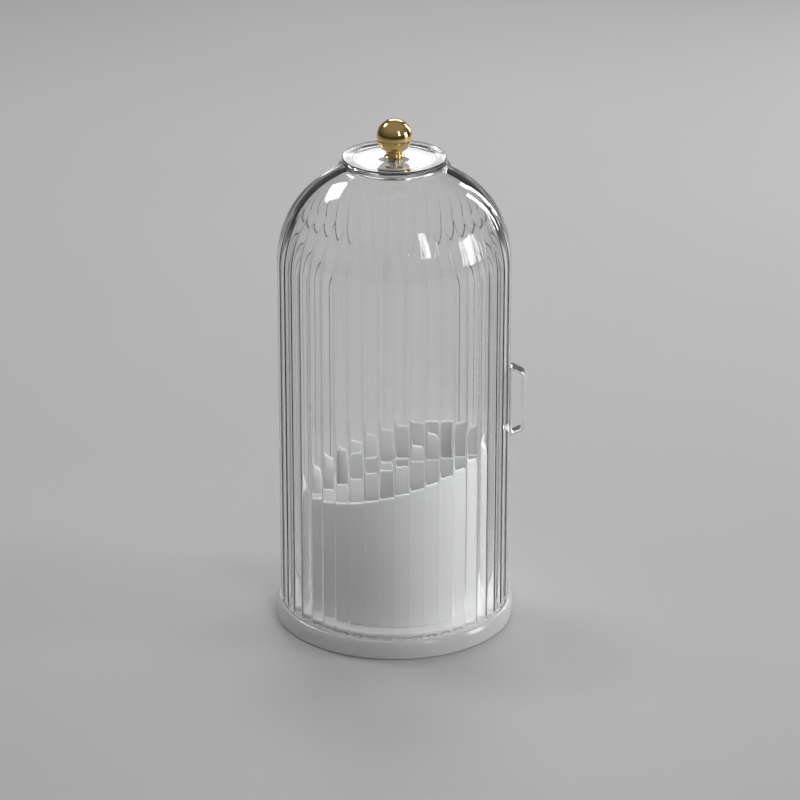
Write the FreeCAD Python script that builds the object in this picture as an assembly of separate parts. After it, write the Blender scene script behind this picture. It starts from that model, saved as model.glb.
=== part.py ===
"""A rotating brush holder under a clear ribbed dome, in millimetres, one STEP file per piece.

+Z is up, the origin is the middle of the underside, and the front is -Y. The half dome at the
back is fixed, the half dome at the front is a door that turns round the neck and slides outside
the back one, the cup turns on a ring of balls, and the lid lifts off the neck.
Angles are in degrees, counted from +X towards +Y.
"""

import FreeCAD
import Part
import math
import os

UP = FreeCAD.Vector(0, 0, 1)
ORIGIN = FreeCAD.Vector(0, 0, 0)
TURN = 360.0
CUT_MARGIN = 1.0

# Base
RIM_WIDTH = 2.45
RIM_TOP = 10.4
RIM_SLOPE_WIDTH = 1.3
RIM_SLOPE_DROP = 2.6
RIM_ROUND = 1.4
RIM_SIDE_ROUND = 2.4
FOOT_BEVEL = 0.4
BASE_LIFT = 0.3
BASE_WALL = 2.2
DECK_TOP = 9.5
DECK_WALL = 1.8
PAN_RADIUS = 45.0
PAN_FLOOR = 5.6
PAN_WALL = 1.4
GROOVE_FLOOR = 7.4
HUB_TOP = 8.6
HUB_RADIUS = 11.0
LEDGE_BOTTOM = 6.2
POCKET_RADIUS = 9.6
STOP_SPAN = 11.0
STOP_GAP = 0.5

# Bottom plate, pad and their screws
PLATE_THICKNESS = 2.3
PLATE_GAP = 0.2
PAD_MARGIN = 8.4
PAD_THICKNESS = 1.5
PAD_GAP = 0.2
PLATE_SCREWS = 4
PLATE_SCREW_START = 45.0
PLATE_SCREW_CIRCLE_RADIUS = 52.0
PLATE_SCREW_RADIUS = 1.25
PLATE_SCREW_HEAD = 2.6
PLATE_SCREW_HEAD_HEIGHT = 0.6
PLATE_SCREW_LENGTH = 4.6
BOSS_WALL = 2.0

# Clear dome: the fixed rear cover lies inside the door
DOME_RADIUS = 64.1
DOME_WALL = 2.4
SHELL_GAP = 0.7
SHOULDER_RISE = 58.6
SHOULDER_CENTRE = 6.0
SHOULDER_END = 65.0
NECK_STEP = 2.254121
NECK_RISE = 3.590364
NECK_TOP = 267.6
RIB_COUNT = 48
RIB_DEPTH = 0.45
RIB_FOOT = 10.9
RIB_FADE_END = 44.0
RIB_FADE_POWER = 0.8
RIB_SECTIONS = 7
DOOR_START = 180.0
GROOVE_GAP = 0.3
COVER_SEAT_GAP = 0.1
COLLAR_HEIGHT = 3.6
TONGUES = 3
TONGUE_WIDTH = 9.0
TONGUE_DROP = 2.6
TONGUE_BARB = 0.5

# Door handle
HANDLE_Z = 129.6
HANDLE_HEIGHT = 41.6
HANDLE_REACH = 8.4
HANDLE_WIDTH = 8.0
HANDLE_BAR = 2.3
HANDLE_ARM = 1.6
HANDLE_ARM_DROP = 4.2
HANDLE_PAD = 0.9
HANDLE_ROUND = 4.0
HANDLE_CORNER = 0.4

# Ball ring
BALL_RADIUS = 1.5
BALL_COUNT = 8
BALL_CIRCLE_RADIUS = 40.0
TRACK_GAP = 0.3
TRACK_SIDES = 8
RACE_WIDTH = 6.4
RACE_THICKNESS = 1.0
CAGE_WIDTH = 5.0
CAGE_THICKNESS = 1.0
CAGE_POCKET_GAP = 0.15

# Turntable and its pivot
TABLE_BOTTOM = 10.0
TABLE_THICKNESS = 2.0
TABLE_GAP = 1.0
TABLE_BEVEL = 0.6
SPIGOT_RADIUS = 5.8
SPIGOT_GAP = 0.05
BUSH_WALL = 1.35
BUSH_FLANGE = 2.4
BUSH_FLANGE_THICKNESS = 0.8
PIVOT_GAP = 0.3
WASHER_RADIUS = 8.8
WASHER_THICKNESS = 0.8
PIVOT_SCREW_RADIUS = 2.0
PIVOT_SCREW_HEAD = 3.6
PIVOT_SCREW_HEAD_HEIGHT = 1.8
PIVOT_SCREW_LENGTH = 5.0
HEAD_BEVEL = 0.5

# Cup and divider
CUP_RADIUS = 50.0
CUP_WALL = 2.2
CUP_RIM_MIDDLE = 91.0
CUP_RIM_RISE = 13.7
CUP_HIGH_SIDE = 0.0
CUP_FLOOR_LIFT = 3.6
CUP_FLOOR = 2.0
CUP_SCREWS = 3
CUP_SCREW_CIRCLE_RADIUS = 25.0
CUP_SCREW_RADIUS = 1.5
CUP_SCREW_HEAD = 2.8
CUP_SCREW_HEAD_HEIGHT = 1.4
CUP_SCREW_LENGTH = 5.0
SCREW_HOLE_GAP = 0.2
PILOT_GAP = 0.03
COMPARTMENTS = 5
DIVIDER_WALL = 1.6
DIVIDER_HUB = 8.0
DIVIDER_GAP = 0.3
DIVIDER_BELOW_RIM = 2.0
DIVIDER_START = 54.0

# Lid and knob
LID_THICKNESS = 1.9
LID_ROUND = 0.6
LID_RING_WALL = 1.9
LID_RING_DEPTH = 4.0
LID_GAP = 0.3
LID_BOSS_RADIUS = 5.0
LID_BOSS_DEPTH = 6.6
KNOB_RADIUS = 9.6
KNOB_LIFT = 1.6
COLLAR_FOOT = 5.6
COLLAR_WAIST = 4.4
COLLAR_TOP = 5.0
COLLAR_WAIST_SHARE = 0.55
KNOB_WASHER_RADIUS = 4.8
KNOB_WASHER_THICKNESS = 0.8
KNOB_SCREW_RADIUS = 1.5
KNOB_SCREW_HEAD = 4.0
KNOB_SCREW_HEAD_HEIGHT = 2.4
KNOB_SCREW_GRIP = 7.0
KNOB_HOLE_SPARE = 1.0

# Places that follow from the sizes above
RIB_PITCH = TURN / RIB_COUNT
DOOR_RIBS = RIB_COUNT // 2
COVER_RIBS = RIB_COUNT - DOOR_RIBS + 1
COVER_START = DOOR_START - (TURN / 2 + COVER_RIBS * RIB_PITCH) / 2
HANDLE_ANGLE = DOOR_START + (DOOR_RIBS - 0.5) * RIB_PITCH
OUTSIDE = 2 * DOME_RADIUS
OVERHEAD = 2 * NECK_TOP
PLATE_TOP = BASE_LIFT + PLATE_THICKNESS
DOOR_INNER = DOME_RADIUS - DOME_WALL
DOOR_FOOT = DOME_RADIUS - RIB_DEPTH
BASE_RADIUS = DOOR_FOOT + GROOVE_GAP + RIM_WIDTH
PAD_RADIUS = BASE_RADIUS - PAD_MARGIN
SHOULDER_Z = NECK_TOP - NECK_RISE - SHOULDER_RISE * math.sin(math.radians(SHOULDER_END))
BROW_RADIUS = SHOULDER_CENTRE + (DOME_RADIUS - SHOULDER_CENTRE) * math.cos(math.radians(SHOULDER_END))
NECK_RADIUS = BROW_RADIUS - NECK_STEP
COVER_INSET = DOME_WALL + SHELL_GAP
COVER_RADIUS = DOME_RADIUS - COVER_INSET
COVER_INNER = COVER_RADIUS - DOME_WALL
COVER_FOOT = COVER_RADIUS - RIB_DEPTH
TABLE_TOP = TABLE_BOTTOM + TABLE_THICKNESS
TABLE_RADIUS = COVER_INNER - TABLE_GAP
BUSH_BORE = SPIGOT_RADIUS + SPIGOT_GAP
BUSH_RADIUS = BUSH_BORE + BUSH_WALL
SPIGOT_BOTTOM = LEDGE_BOTTOM - PIVOT_GAP
RACE_TOP = PAN_FLOOR + RACE_THICKNESS
UPPER_RACE_BOTTOM = TABLE_BOTTOM - RACE_THICKNESS
BALL_Z = (RACE_TOP + UPPER_RACE_BOTTOM) / 2
CUP_FLOOR_BOTTOM = TABLE_TOP + CUP_FLOOR_LIFT
CUP_FLOOR_TOP = CUP_FLOOR_BOTTOM + CUP_FLOOR
LID_TOP = NECK_TOP + LID_THICKNESS
KNOB_CENTRE_Z = LID_TOP + KNOB_LIFT + KNOB_RADIUS
NECK_INNER = NECK_RADIUS - COVER_INSET - DOME_WALL
LID_RING_RADIUS = NECK_INNER - LID_GAP
BOSS_BOTTOM = NECK_TOP - LID_BOSS_DEPTH
STOP_START = DOOR_START - STOP_GAP - STOP_SPAN


def polar(radius, angle, z=0.0):
    """The point at this radius, angle and height."""
    turned = math.radians(angle)
    return FreeCAD.Vector(radius * math.cos(turned), radius * math.sin(turned), z)


def rounded_wire(corners):
    """A closed wire through (x, z, round) corners in the XZ plane, with its corners rounded."""
    edges = []
    count = len(corners)
    points = [FreeCAD.Vector(x, 0, z) for x, z, _ in corners]
    starts = []
    ends = []
    for i, (_, _, radius) in enumerate(corners):
        here = points[i]
        back = (points[i - 1] - here).normalize()
        ahead = (points[(i + 1) % count] - here).normalize()
        half = back.getAngle(ahead) / 2
        reach = radius / math.tan(half)
        starts.append(here + back * reach)
        ends.append(here + ahead * reach)
        if radius > 0:
            bisector = (back + ahead).normalize()
            middle = here + bisector * (radius / math.sin(half) - radius)
            edges.append(Part.Arc(starts[i], middle, ends[i]).toShape())
        else:
            edges.append(None)
    path = []
    for i in range(count):
        if edges[i] is not None:
            path.append(edges[i])
        following = starts[(i + 1) % count]
        if ends[i].distanceToPoint(following) > 1e-7:
            path.append(Part.makeLine(ends[i], following))
    return Part.Wire(path)


def turned(corners, start=0.0, span=TURN):
    """The solid of revolution about Z of a rounded profile given as (radius, z, round)."""
    face = Part.Face(rounded_wire(corners))
    face.rotate(ORIGIN, UP, start)
    return face.revolve(ORIGIN, UP, span)


def ring(inner, outer, bottom, top):
    """A plain ring, or a disc where the inner radius is 0."""
    body = Part.makeCylinder(outer, top - bottom, FreeCAD.Vector(0, 0, bottom))
    if inner > 0:
        body = body.cut(Part.makeCylinder(inner, top - bottom, FreeCAD.Vector(0, 0, bottom)))
    return body


def sector(inner, outer, bottom, top, start, span):
    """A ring's sector from the angle start over span."""
    profile = [(inner, bottom, 0), (outer, bottom, 0), (outer, top, 0), (inner, top, 0)]
    return turned(profile, start, span)


def round_array(count, start=0.0):
    """The angles of count equal steps round the axis."""
    return [start + i * TURN / count for i in range(count)]


def pan_screw(radius, head, head_height, length, foot):
    """A screw along Z, its shank upwards and its bevelled head below the height foot."""
    bottom = foot - head_height
    return turned([
        (0, bottom, 0), (head - HEAD_BEVEL, bottom, 0), (head, bottom + HEAD_BEVEL, 0), (head, foot, 0),
        (radius, foot, 0), (radius, foot + length, 0), (0, foot + length, 0),
    ])


def placed(shape, radius, angle):
    """A copy of the shape moved out to this radius and angle."""
    copy = shape.copy()
    copy.translate(polar(radius, angle))
    return copy


def shoulder_arc(centre, wide, high, end):
    """The shoulder's ellipse from the wall up to the angle end, whichever of its axes is longer."""
    side = centre + FreeCAD.Vector(wide, 0, 0)
    top = centre + UP * high
    if wide >= high:
        return Part.ArcOfEllipse(Part.Ellipse(side, top, centre), 0, end).toShape()
    return Part.ArcOfEllipse(Part.Ellipse(top, side, centre), math.pi / 2 - end, math.pi / 2).toShape()


def dome_curve(inset, bottom):
    """The dome's outline, this far inside the door's crests: wall, shoulder, neck."""
    wide = DOME_RADIUS - SHOULDER_CENTRE - inset
    high = SHOULDER_RISE - inset
    centre = FreeCAD.Vector(SHOULDER_CENTRE, 0, SHOULDER_Z)
    end = math.radians(SHOULDER_END)
    shoulder = shoulder_arc(centre, wide, high, end)
    brow = FreeCAD.Vector(wide * math.cos(end), 0, high * math.sin(end)) + centre
    fall = math.atan2(high * math.cos(end), wide * math.sin(end))
    neck = NECK_RADIUS - inset
    sweep = math.pi / 2 - fall
    flare = (brow.x - neck) / (1 - math.cos(sweep))
    hollow = FreeCAD.Vector(neck + flare, 0, brow.z + flare * math.sin(sweep))
    middle = hollow - FreeCAD.Vector(math.cos(sweep / 2), 0, math.sin(sweep / 2)) * flare
    throat = FreeCAD.Vector(neck, 0, hollow.z)
    wall = Part.makeLine(polar(DOME_RADIUS - inset, 0, bottom), polar(DOME_RADIUS - inset, 0, SHOULDER_Z))
    return [wall, shoulder, Part.Arc(brow, middle, throat).toShape()], throat


def dome_core(inset, bottom, top, start=0.0, span=TURN):
    """Everything inside the dome's outline at this inset, from bottom to top."""
    curve, throat = dome_curve(inset, bottom)
    above = FreeCAD.Vector(throat.x, 0, top)
    edges = curve + [
        Part.makeLine(throat, above),
        Part.makeLine(above, UP * top),
        Part.makeLine(UP * top, UP * bottom),
        Part.makeLine(UP * bottom, polar(DOME_RADIUS - inset, 0, bottom)),
    ]
    face = Part.Face(Part.Wire(edges))
    face.rotate(ORIGIN, UP, start)
    return face.revolve(ORIGIN, UP, span)


def ribbed_outline(crest, depth, start, ribs, z):
    """A pie-shaped wire at height z whose rim is one convex arc per rib."""
    valley = crest - depth
    edges = [Part.makeLine(UP * z, polar(valley, start, z))]
    for i in range(ribs):
        left = start + i * RIB_PITCH
        points = [
            polar(valley, left, z),
            polar(crest, left + RIB_PITCH / 2, z),
            polar(valley, left + RIB_PITCH, z),
        ]
        edges.append(Part.Arc(*points).toShape())
    edges.append(Part.makeLine(polar(valley, start + ribs * RIB_PITCH, z), UP * z))
    return Part.Wire(edges)


def rib_fade(share):
    """The rib's depth over the shoulder: full at share 0, nothing at share 1."""
    return RIB_DEPTH * math.cos(share * math.pi / 2) ** RIB_FADE_POWER


def ribbed_body(inset, start, ribs, foot):
    """The filled ribbed half dome: wall, shoulder where the ribs fade out, and smooth crown."""
    crest = DOME_RADIUS - inset
    wall = Part.Face(ribbed_outline(crest, RIB_DEPTH, start, ribs, RIB_FOOT))
    wall = wall.extrude(UP * (SHOULDER_Z - RIB_FOOT))
    wide = crest - SHOULDER_CENTRE
    high = SHOULDER_RISE - inset
    rings = []
    for i in range(RIB_SECTIONS):
        share = i / (RIB_SECTIONS - 1)
        angle = math.radians(RIB_FADE_END * share)
        radius = SHOULDER_CENTRE + wide * math.cos(angle)
        z = SHOULDER_Z + high * math.sin(angle)
        rings.append(ribbed_outline(radius, rib_fade(share), start, ribs, z))
    shoulder = Part.makeLoft(rings, True)
    fade_z = rings[-1].BoundBox.ZMin
    crown = dome_core(inset, 0.0, OVERHEAD, start, ribs * RIB_PITCH)
    above = ring(0, OUTSIDE, fade_z, OVERHEAD)
    heel = sector(0, crest - RIB_DEPTH, foot, RIB_FOOT, start, ribs * RIB_PITCH)
    body = wall.multiFuse([shoulder, crown.common(above), heel])
    return body.removeSplitter()


def rib_feet(inset, start, ribs):
    """Cutters that give each rib a rounded lower end, as wide as the rib."""
    crest = DOME_RADIUS - inset
    valley = crest - RIB_DEPTH
    half = crest * math.sin(math.radians(RIB_PITCH / 2))
    cutters = []
    for i in range(ribs):
        left = start + i * RIB_PITCH
        block = sector(valley, crest + CUT_MARGIN, RIB_FOOT - CUT_MARGIN, RIB_FOOT + half, left, RIB_PITCH)
        middle = left + RIB_PITCH / 2
        drum = Part.makeCylinder(half, 2 * (RIB_DEPTH + CUT_MARGIN),
                                 polar(valley - CUT_MARGIN, middle, RIB_FOOT + half), polar(1, middle))
        cutters.append(block.cut(drum))
    return cutters


def ribbed_shell(inset, start, ribs, foot, neck_top):
    """A clear ribbed half dome of even wall, with a whole ring round the neck."""
    body = ribbed_body(inset, start, ribs, foot)
    body = body.cut(Part.makeCompound(rib_feet(inset, start, ribs)))
    crown = dome_core(inset, 0.0, OVERHEAD)
    body = body.fuse(crown.common(ring(0, OUTSIDE, NECK_TOP - COLLAR_HEIGHT, OVERHEAD)))
    body = body.cut(dome_core(inset + DOME_WALL, 0.0, OVERHEAD))
    body = body.cut(ring(0, OUTSIDE, neck_top, OVERHEAD))
    return body.removeSplitter()


def door_shell():
    """The front half dome: it turns round the rear cover's neck, its foot in the base's groove."""
    return ribbed_shell(0.0, DOOR_START, DOOR_RIBS, GROOVE_FLOOR + GROOVE_GAP, NECK_TOP - GROOVE_GAP)


def tongue_angles():
    """The angles of the rear cover's snap tongues."""
    step = TURN / 2 / TONGUES
    return [step * (i + 0.5) for i in range(TONGUES)]


def tongue(grow):
    """A snap tongue under the rear cover's foot at angle 0, grown by a clearance for its slot."""
    half = math.degrees(TONGUE_WIDTH / 2 / COVER_FOOT) + math.degrees(grow / COVER_FOOT)
    deep = GROOVE_FLOOR - TONGUE_DROP
    stem = sector(COVER_INNER - grow, COVER_FOOT + grow, deep, GROOVE_FLOOR, -half, 2 * half)
    barb_top = GROOVE_FLOOR - DECK_WALL
    barb = [(COVER_INNER, deep, 0), (COVER_FOOT, deep, 0), (COVER_FOOT + TONGUE_BARB, barb_top, 0),
            (COVER_INNER, barb_top, 0)]
    return stem if grow > 0 else stem.fuse(turned(barb, -half, 2 * half)).removeSplitter()


def rear_cover():
    """The fixed rear half dome with its neck and the tongues that hold it in the base."""
    body = ribbed_shell(COVER_INSET, COVER_START, COVER_RIBS, GROOVE_FLOOR, NECK_TOP)
    for angle in tongue_angles():
        hook = tongue(0.0)
        hook.rotate(ORIGIN, UP, angle)
        body = body.fuse(hook)
    return body.removeSplitter()


def door_handle():
    """The D-shaped pull, whose pad takes the shape of the rib that it is glued to."""
    half = HANDLE_HEIGHT / 2
    wall = DOME_RADIUS
    outer = wall + HANDLE_REACH
    knee = half - HANDLE_ARM_DROP
    slope = HANDLE_ARM_DROP / HANDLE_REACH
    blank = rounded_wire([
        (wall - RIB_DEPTH, half, 0), (wall, half, 0), (outer, knee, HANDLE_ROUND),
        (outer, -knee, HANDLE_ROUND), (wall, -half, 0), (wall - RIB_DEPTH, -half, 0),
    ])
    pad = wall + HANDLE_PAD
    inner = outer - HANDLE_BAR
    at_pad = half - HANDLE_ARM - HANDLE_PAD * slope
    at_bar = knee - HANDLE_ARM + HANDLE_BAR * slope
    bend = HANDLE_ROUND - HANDLE_BAR
    gap = rounded_wire([
        (pad, at_pad, HANDLE_CORNER), (inner, at_bar, bend), (inner, -at_bar, bend),
        (pad, -at_pad, HANDLE_CORNER),
    ])
    body = Part.Face(blank).extrude(FreeCAD.Vector(0, HANDLE_WIDTH, 0))
    body = body.cut(Part.Face(gap).extrude(FreeCAD.Vector(0, HANDLE_WIDTH, 0)))
    body.translate(FreeCAD.Vector(0, -HANDLE_WIDTH / 2, HANDLE_Z))
    body.rotate(ORIGIN, UP, HANDLE_ANGLE)
    ribs = 3
    start = HANDLE_ANGLE - ribs * RIB_PITCH / 2
    seat = Part.Face(ribbed_outline(DOME_RADIUS, RIB_DEPTH, start, ribs, HANDLE_Z - HANDLE_HEIGHT))
    return body.cut(seat.extrude(UP * 2 * HANDLE_HEIGHT))


def base_profile():
    """The base's section as (radius, z, round) corners, from the hub outwards and back."""
    cover_in = COVER_INNER - COVER_SEAT_GAP
    cover_out = COVER_FOOT + COVER_SEAT_GAP
    door_in = DOOR_INNER - GROOVE_GAP
    door_out = DOOR_FOOT + GROOVE_GAP
    skirt = BASE_RADIUS - BASE_WALL
    groove_under = GROOVE_FLOOR - DECK_WALL
    under_deck = DECK_TOP - DECK_WALL
    pan_out = PAN_RADIUS + DECK_WALL
    return [
        (BUSH_RADIUS, HUB_TOP, 0), (HUB_RADIUS, HUB_TOP, 0), (HUB_RADIUS, PAN_FLOOR, 0),
        (PAN_RADIUS, PAN_FLOOR, 0), (PAN_RADIUS, DECK_TOP, 0),
        (cover_in, DECK_TOP, 0), (cover_in, GROOVE_FLOOR, 0), (cover_out, GROOVE_FLOOR, 0),
        (cover_out, RIM_TOP - GROOVE_GAP, 0), (door_in, RIM_TOP - GROOVE_GAP, 0),
        (door_in, GROOVE_FLOOR, 0), (door_out, GROOVE_FLOOR, 0), (door_out, RIM_TOP, 0),
        (BASE_RADIUS - RIM_SLOPE_WIDTH, RIM_TOP, RIM_ROUND),
        (BASE_RADIUS, RIM_TOP - RIM_SLOPE_DROP, RIM_SIDE_ROUND), (BASE_RADIUS, BASE_LIFT + FOOT_BEVEL, 0),
        (BASE_RADIUS - FOOT_BEVEL, BASE_LIFT, 0), (skirt, BASE_LIFT, 0), (skirt, groove_under, 0),
        (cover_in - DECK_WALL, groove_under, 0), (cover_in - DECK_WALL, under_deck, 0),
        (pan_out, under_deck, 0), (pan_out, PAN_FLOOR - PAN_WALL, 0),
        (POCKET_RADIUS, PAN_FLOOR - PAN_WALL, 0),
        (POCKET_RADIUS, LEDGE_BOTTOM, 0), (BUSH_RADIUS, LEDGE_BOTTOM, 0),
    ]


def base_shell():
    """The moulded base: rolled rim, two grooves, ball pan, hub, door stop, slots and bosses."""
    body = turned(base_profile())
    stop = sector(DOOR_INNER - GROOVE_GAP, DOOR_FOOT + GROOVE_GAP, GROOVE_FLOOR, RIM_TOP - GROOVE_GAP,
                  STOP_START, STOP_SPAN)
    bosses = []
    holes = []
    for angle in round_array(PLATE_SCREWS, PLATE_SCREW_START):
        foot = polar(PLATE_SCREW_CIRCLE_RADIUS, angle, PLATE_TOP)
        tall = DECK_TOP - DECK_WALL - PLATE_TOP
        bosses.append(Part.makeCylinder(PLATE_SCREW_RADIUS + BOSS_WALL, tall, foot))
        holes.append(Part.makeCylinder(PLATE_SCREW_RADIUS + PILOT_GAP, tall, foot))
    body = body.multiFuse([stop] + bosses)
    slots = []
    for angle in tongue_angles():
        slot = tongue(COVER_SEAT_GAP)
        slot.rotate(ORIGIN, UP, angle)
        slots.append(slot)
    return body.cut(Part.makeCompound(holes + slots)).removeSplitter()


def bottom_plate():
    """The disc that closes the base, with a recess for the pad and countersunk screw holes."""
    outer = BASE_RADIUS - BASE_WALL - PLATE_GAP
    recess = PAD_RADIUS + PAD_GAP
    body = turned([
        (0, PAD_THICKNESS, 0), (recess, PAD_THICKNESS, 0), (recess, BASE_LIFT, 0),
        (outer, BASE_LIFT, 0), (outer, PLATE_TOP, 0), (0, PLATE_TOP, 0),
    ])
    for angle in round_array(PLATE_SCREWS, PLATE_SCREW_START):
        foot = polar(PLATE_SCREW_CIRCLE_RADIUS, angle, PAD_THICKNESS)
        hole = Part.makeCylinder(PLATE_SCREW_RADIUS + SCREW_HOLE_GAP, PLATE_THICKNESS, foot)
        sink = Part.makeCylinder(PLATE_SCREW_HEAD + SCREW_HOLE_GAP, PLATE_SCREW_HEAD_HEIGHT, foot)
        body = body.cut(hole.fuse(sink))
    return body


def anti_slip_pad():
    """The soft disc that the holder stands on."""
    return ring(0, PAD_RADIUS, 0, PAD_THICKNESS)


def plate_screws():
    """The screws that hold the bottom plate, their heads in the plate's counterbores."""
    foot = PAD_THICKNESS + PLATE_SCREW_HEAD_HEIGHT
    shank = Part.makeCylinder(PLATE_SCREW_RADIUS, PLATE_SCREW_LENGTH, FreeCAD.Vector(0, 0, foot))
    head = Part.makeCylinder(PLATE_SCREW_HEAD, PLATE_SCREW_HEAD_HEIGHT,
                             FreeCAD.Vector(0, 0, PAD_THICKNESS))
    screw = head.fuse(shank).removeSplitter()
    angles = round_array(PLATE_SCREWS, PLATE_SCREW_START)
    return Part.makeCompound([placed(screw, PLATE_SCREW_CIRCLE_RADIUS, a) for a in angles])


def track():
    """Both ball tracks as one ring, whose eight-sided section goes round a ball and its clearance."""
    side = 2 * math.pi / TRACK_SIDES
    reach = (BALL_RADIUS + TRACK_GAP) / math.cos(side / 2)
    corners = []
    for i in range(TRACK_SIDES):
        angle = (i + 0.5) * side
        corners.append((BALL_CIRCLE_RADIUS + reach * math.cos(angle), BALL_Z + reach * math.sin(angle), 0))
    return turned(corners)


def race(bottom):
    """A flat ring with half a ball track."""
    inner = BALL_CIRCLE_RADIUS - RACE_WIDTH / 2
    return ring(inner, inner + RACE_WIDTH, bottom, bottom + RACE_THICKNESS).cut(track())


def ball_cage():
    """The flat ring that spaces the balls."""
    inner = BALL_CIRCLE_RADIUS - CAGE_WIDTH / 2
    bottom = BALL_Z - CAGE_THICKNESS / 2
    body = ring(inner, inner + CAGE_WIDTH, bottom, bottom + CAGE_THICKNESS)
    pocket = Part.makeCylinder(BALL_RADIUS + CAGE_POCKET_GAP, CAGE_THICKNESS, FreeCAD.Vector(0, 0, bottom))
    angles = round_array(BALL_COUNT)
    return body.cut(Part.makeCompound([placed(pocket, BALL_CIRCLE_RADIUS, a) for a in angles]))


def steel_balls():
    """The balls, one in each pocket of the cage."""
    ball = Part.makeSphere(BALL_RADIUS, FreeCAD.Vector(0, 0, BALL_Z))
    return Part.makeCompound([placed(ball, BALL_CIRCLE_RADIUS, a) for a in round_array(BALL_COUNT)])


def hub_bush():
    """The flanged bush in the base's hub."""
    flange_top = HUB_TOP + BUSH_FLANGE_THICKNESS
    return turned([
        (BUSH_BORE, LEDGE_BOTTOM, 0), (BUSH_RADIUS, LEDGE_BOTTOM, 0), (BUSH_RADIUS, HUB_TOP, 0),
        (BUSH_RADIUS + BUSH_FLANGE, HUB_TOP, 0), (BUSH_RADIUS + BUSH_FLANGE, flange_top, 0),
        (BUSH_BORE, flange_top, 0),
    ])


def turntable():
    """The plate under the cup, with the spigot that turns in the bush."""
    body = turned([
        (0, SPIGOT_BOTTOM, 0), (SPIGOT_RADIUS, SPIGOT_BOTTOM, 0), (SPIGOT_RADIUS, TABLE_BOTTOM, 0),
        (TABLE_RADIUS, TABLE_BOTTOM, 0), (TABLE_RADIUS, TABLE_TOP - TABLE_BEVEL, 0),
        (TABLE_RADIUS - TABLE_BEVEL, TABLE_TOP, 0), (0, TABLE_TOP, 0),
    ])
    pilot = Part.makeCylinder(PIVOT_SCREW_RADIUS + PILOT_GAP, PIVOT_SCREW_LENGTH,
                              FreeCAD.Vector(0, 0, SPIGOT_BOTTOM))
    holes = [pilot]
    for angle in round_array(CUP_SCREWS):
        foot = polar(CUP_SCREW_CIRCLE_RADIUS, angle, TABLE_BOTTOM)
        holes.append(Part.makeCylinder(CUP_SCREW_RADIUS + SCREW_HOLE_GAP, TABLE_THICKNESS, foot))
    return body.cut(Part.makeCompound(holes))


def pivot_washer():
    """The washer that keeps the spigot in the hub."""
    top = SPIGOT_BOTTOM
    return ring(PIVOT_SCREW_RADIUS + SCREW_HOLE_GAP, WASHER_RADIUS, top - WASHER_THICKNESS, top)


def pivot_screw():
    """The screw up into the spigot."""
    foot = SPIGOT_BOTTOM - WASHER_THICKNESS
    return pan_screw(PIVOT_SCREW_RADIUS, PIVOT_SCREW_HEAD, PIVOT_SCREW_HEAD_HEIGHT, PIVOT_SCREW_LENGTH,
                     foot)


def above_rim(drop):
    """Everything above the slanted plane that lies this far below the cup's rim."""
    size = 4 * CUP_RADIUS
    block = Part.makeBox(size, size, size, FreeCAD.Vector(-size / 2, -size / 2, 0))
    tilt = math.degrees(math.atan2(CUP_RIM_RISE, CUP_RADIUS))
    block.rotate(ORIGIN, FreeCAD.Vector(0, 1, 0), -tilt)
    block.rotate(ORIGIN, UP, CUP_HIGH_SIDE)
    block.translate(FreeCAD.Vector(0, 0, CUP_RIM_MIDDLE - drop))
    return block


def brush_cup():
    """The cup: slanted rim, raised floor, and bosses under the floor for its screws."""
    tall = CUP_RIM_MIDDLE + 2 * CUP_RIM_RISE
    inner = CUP_RADIUS - CUP_WALL
    body = turned([
        (0, CUP_FLOOR_BOTTOM, 0), (inner, CUP_FLOOR_BOTTOM, 0), (inner, TABLE_TOP, 0),
        (CUP_RADIUS, TABLE_TOP, 0), (CUP_RADIUS, tall, 0), (inner, tall, 0),
        (inner, CUP_FLOOR_TOP, 0), (0, CUP_FLOOR_TOP, 0),
    ])
    body = body.cut(above_rim(0.0))
    bosses = []
    holes = []
    for angle in round_array(CUP_SCREWS):
        foot = polar(CUP_SCREW_CIRCLE_RADIUS, angle, TABLE_TOP)
        bosses.append(Part.makeCylinder(CUP_SCREW_RADIUS + BOSS_WALL, CUP_FLOOR_LIFT, foot))
        holes.append(Part.makeCylinder(CUP_SCREW_RADIUS + PILOT_GAP, CUP_FLOOR_LIFT, foot))
    return body.multiFuse(bosses).cut(Part.makeCompound(holes)).removeSplitter()


def cup_screws():
    """The screws from below the turntable into the cup's bosses."""
    screw = pan_screw(CUP_SCREW_RADIUS, CUP_SCREW_HEAD, CUP_SCREW_HEAD_HEIGHT, CUP_SCREW_LENGTH,
                      TABLE_BOTTOM)
    return Part.makeCompound([placed(screw, CUP_SCREW_CIRCLE_RADIUS, a) for a in round_array(CUP_SCREWS)])


def divider_insert():
    """The walls and the hub that part the cup into compartments, cut to the rim's slant."""
    bottom = CUP_FLOOR_TOP + DIVIDER_GAP
    tall = CUP_RIM_MIDDLE + CUP_RIM_RISE - bottom
    outer = CUP_RADIUS - CUP_WALL - DIVIDER_GAP
    hub = Part.makeCylinder(DIVIDER_HUB, tall, FreeCAD.Vector(0, 0, bottom))
    walls = []
    for angle in round_array(COMPARTMENTS, DIVIDER_START):
        wall = Part.makeBox(outer, DIVIDER_WALL, tall, FreeCAD.Vector(0, -DIVIDER_WALL / 2, bottom))
        wall.rotate(ORIGIN, UP, angle)
        walls.append(wall)
    body = hub.multiFuse(walls).common(ring(0, outer, bottom, bottom + tall))
    body = body.cut(Part.makeCylinder(DIVIDER_HUB - DIVIDER_WALL, tall, FreeCAD.Vector(0, 0, bottom)))
    return body.cut(above_rim(DIVIDER_BELOW_RIM)).removeSplitter()


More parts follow.
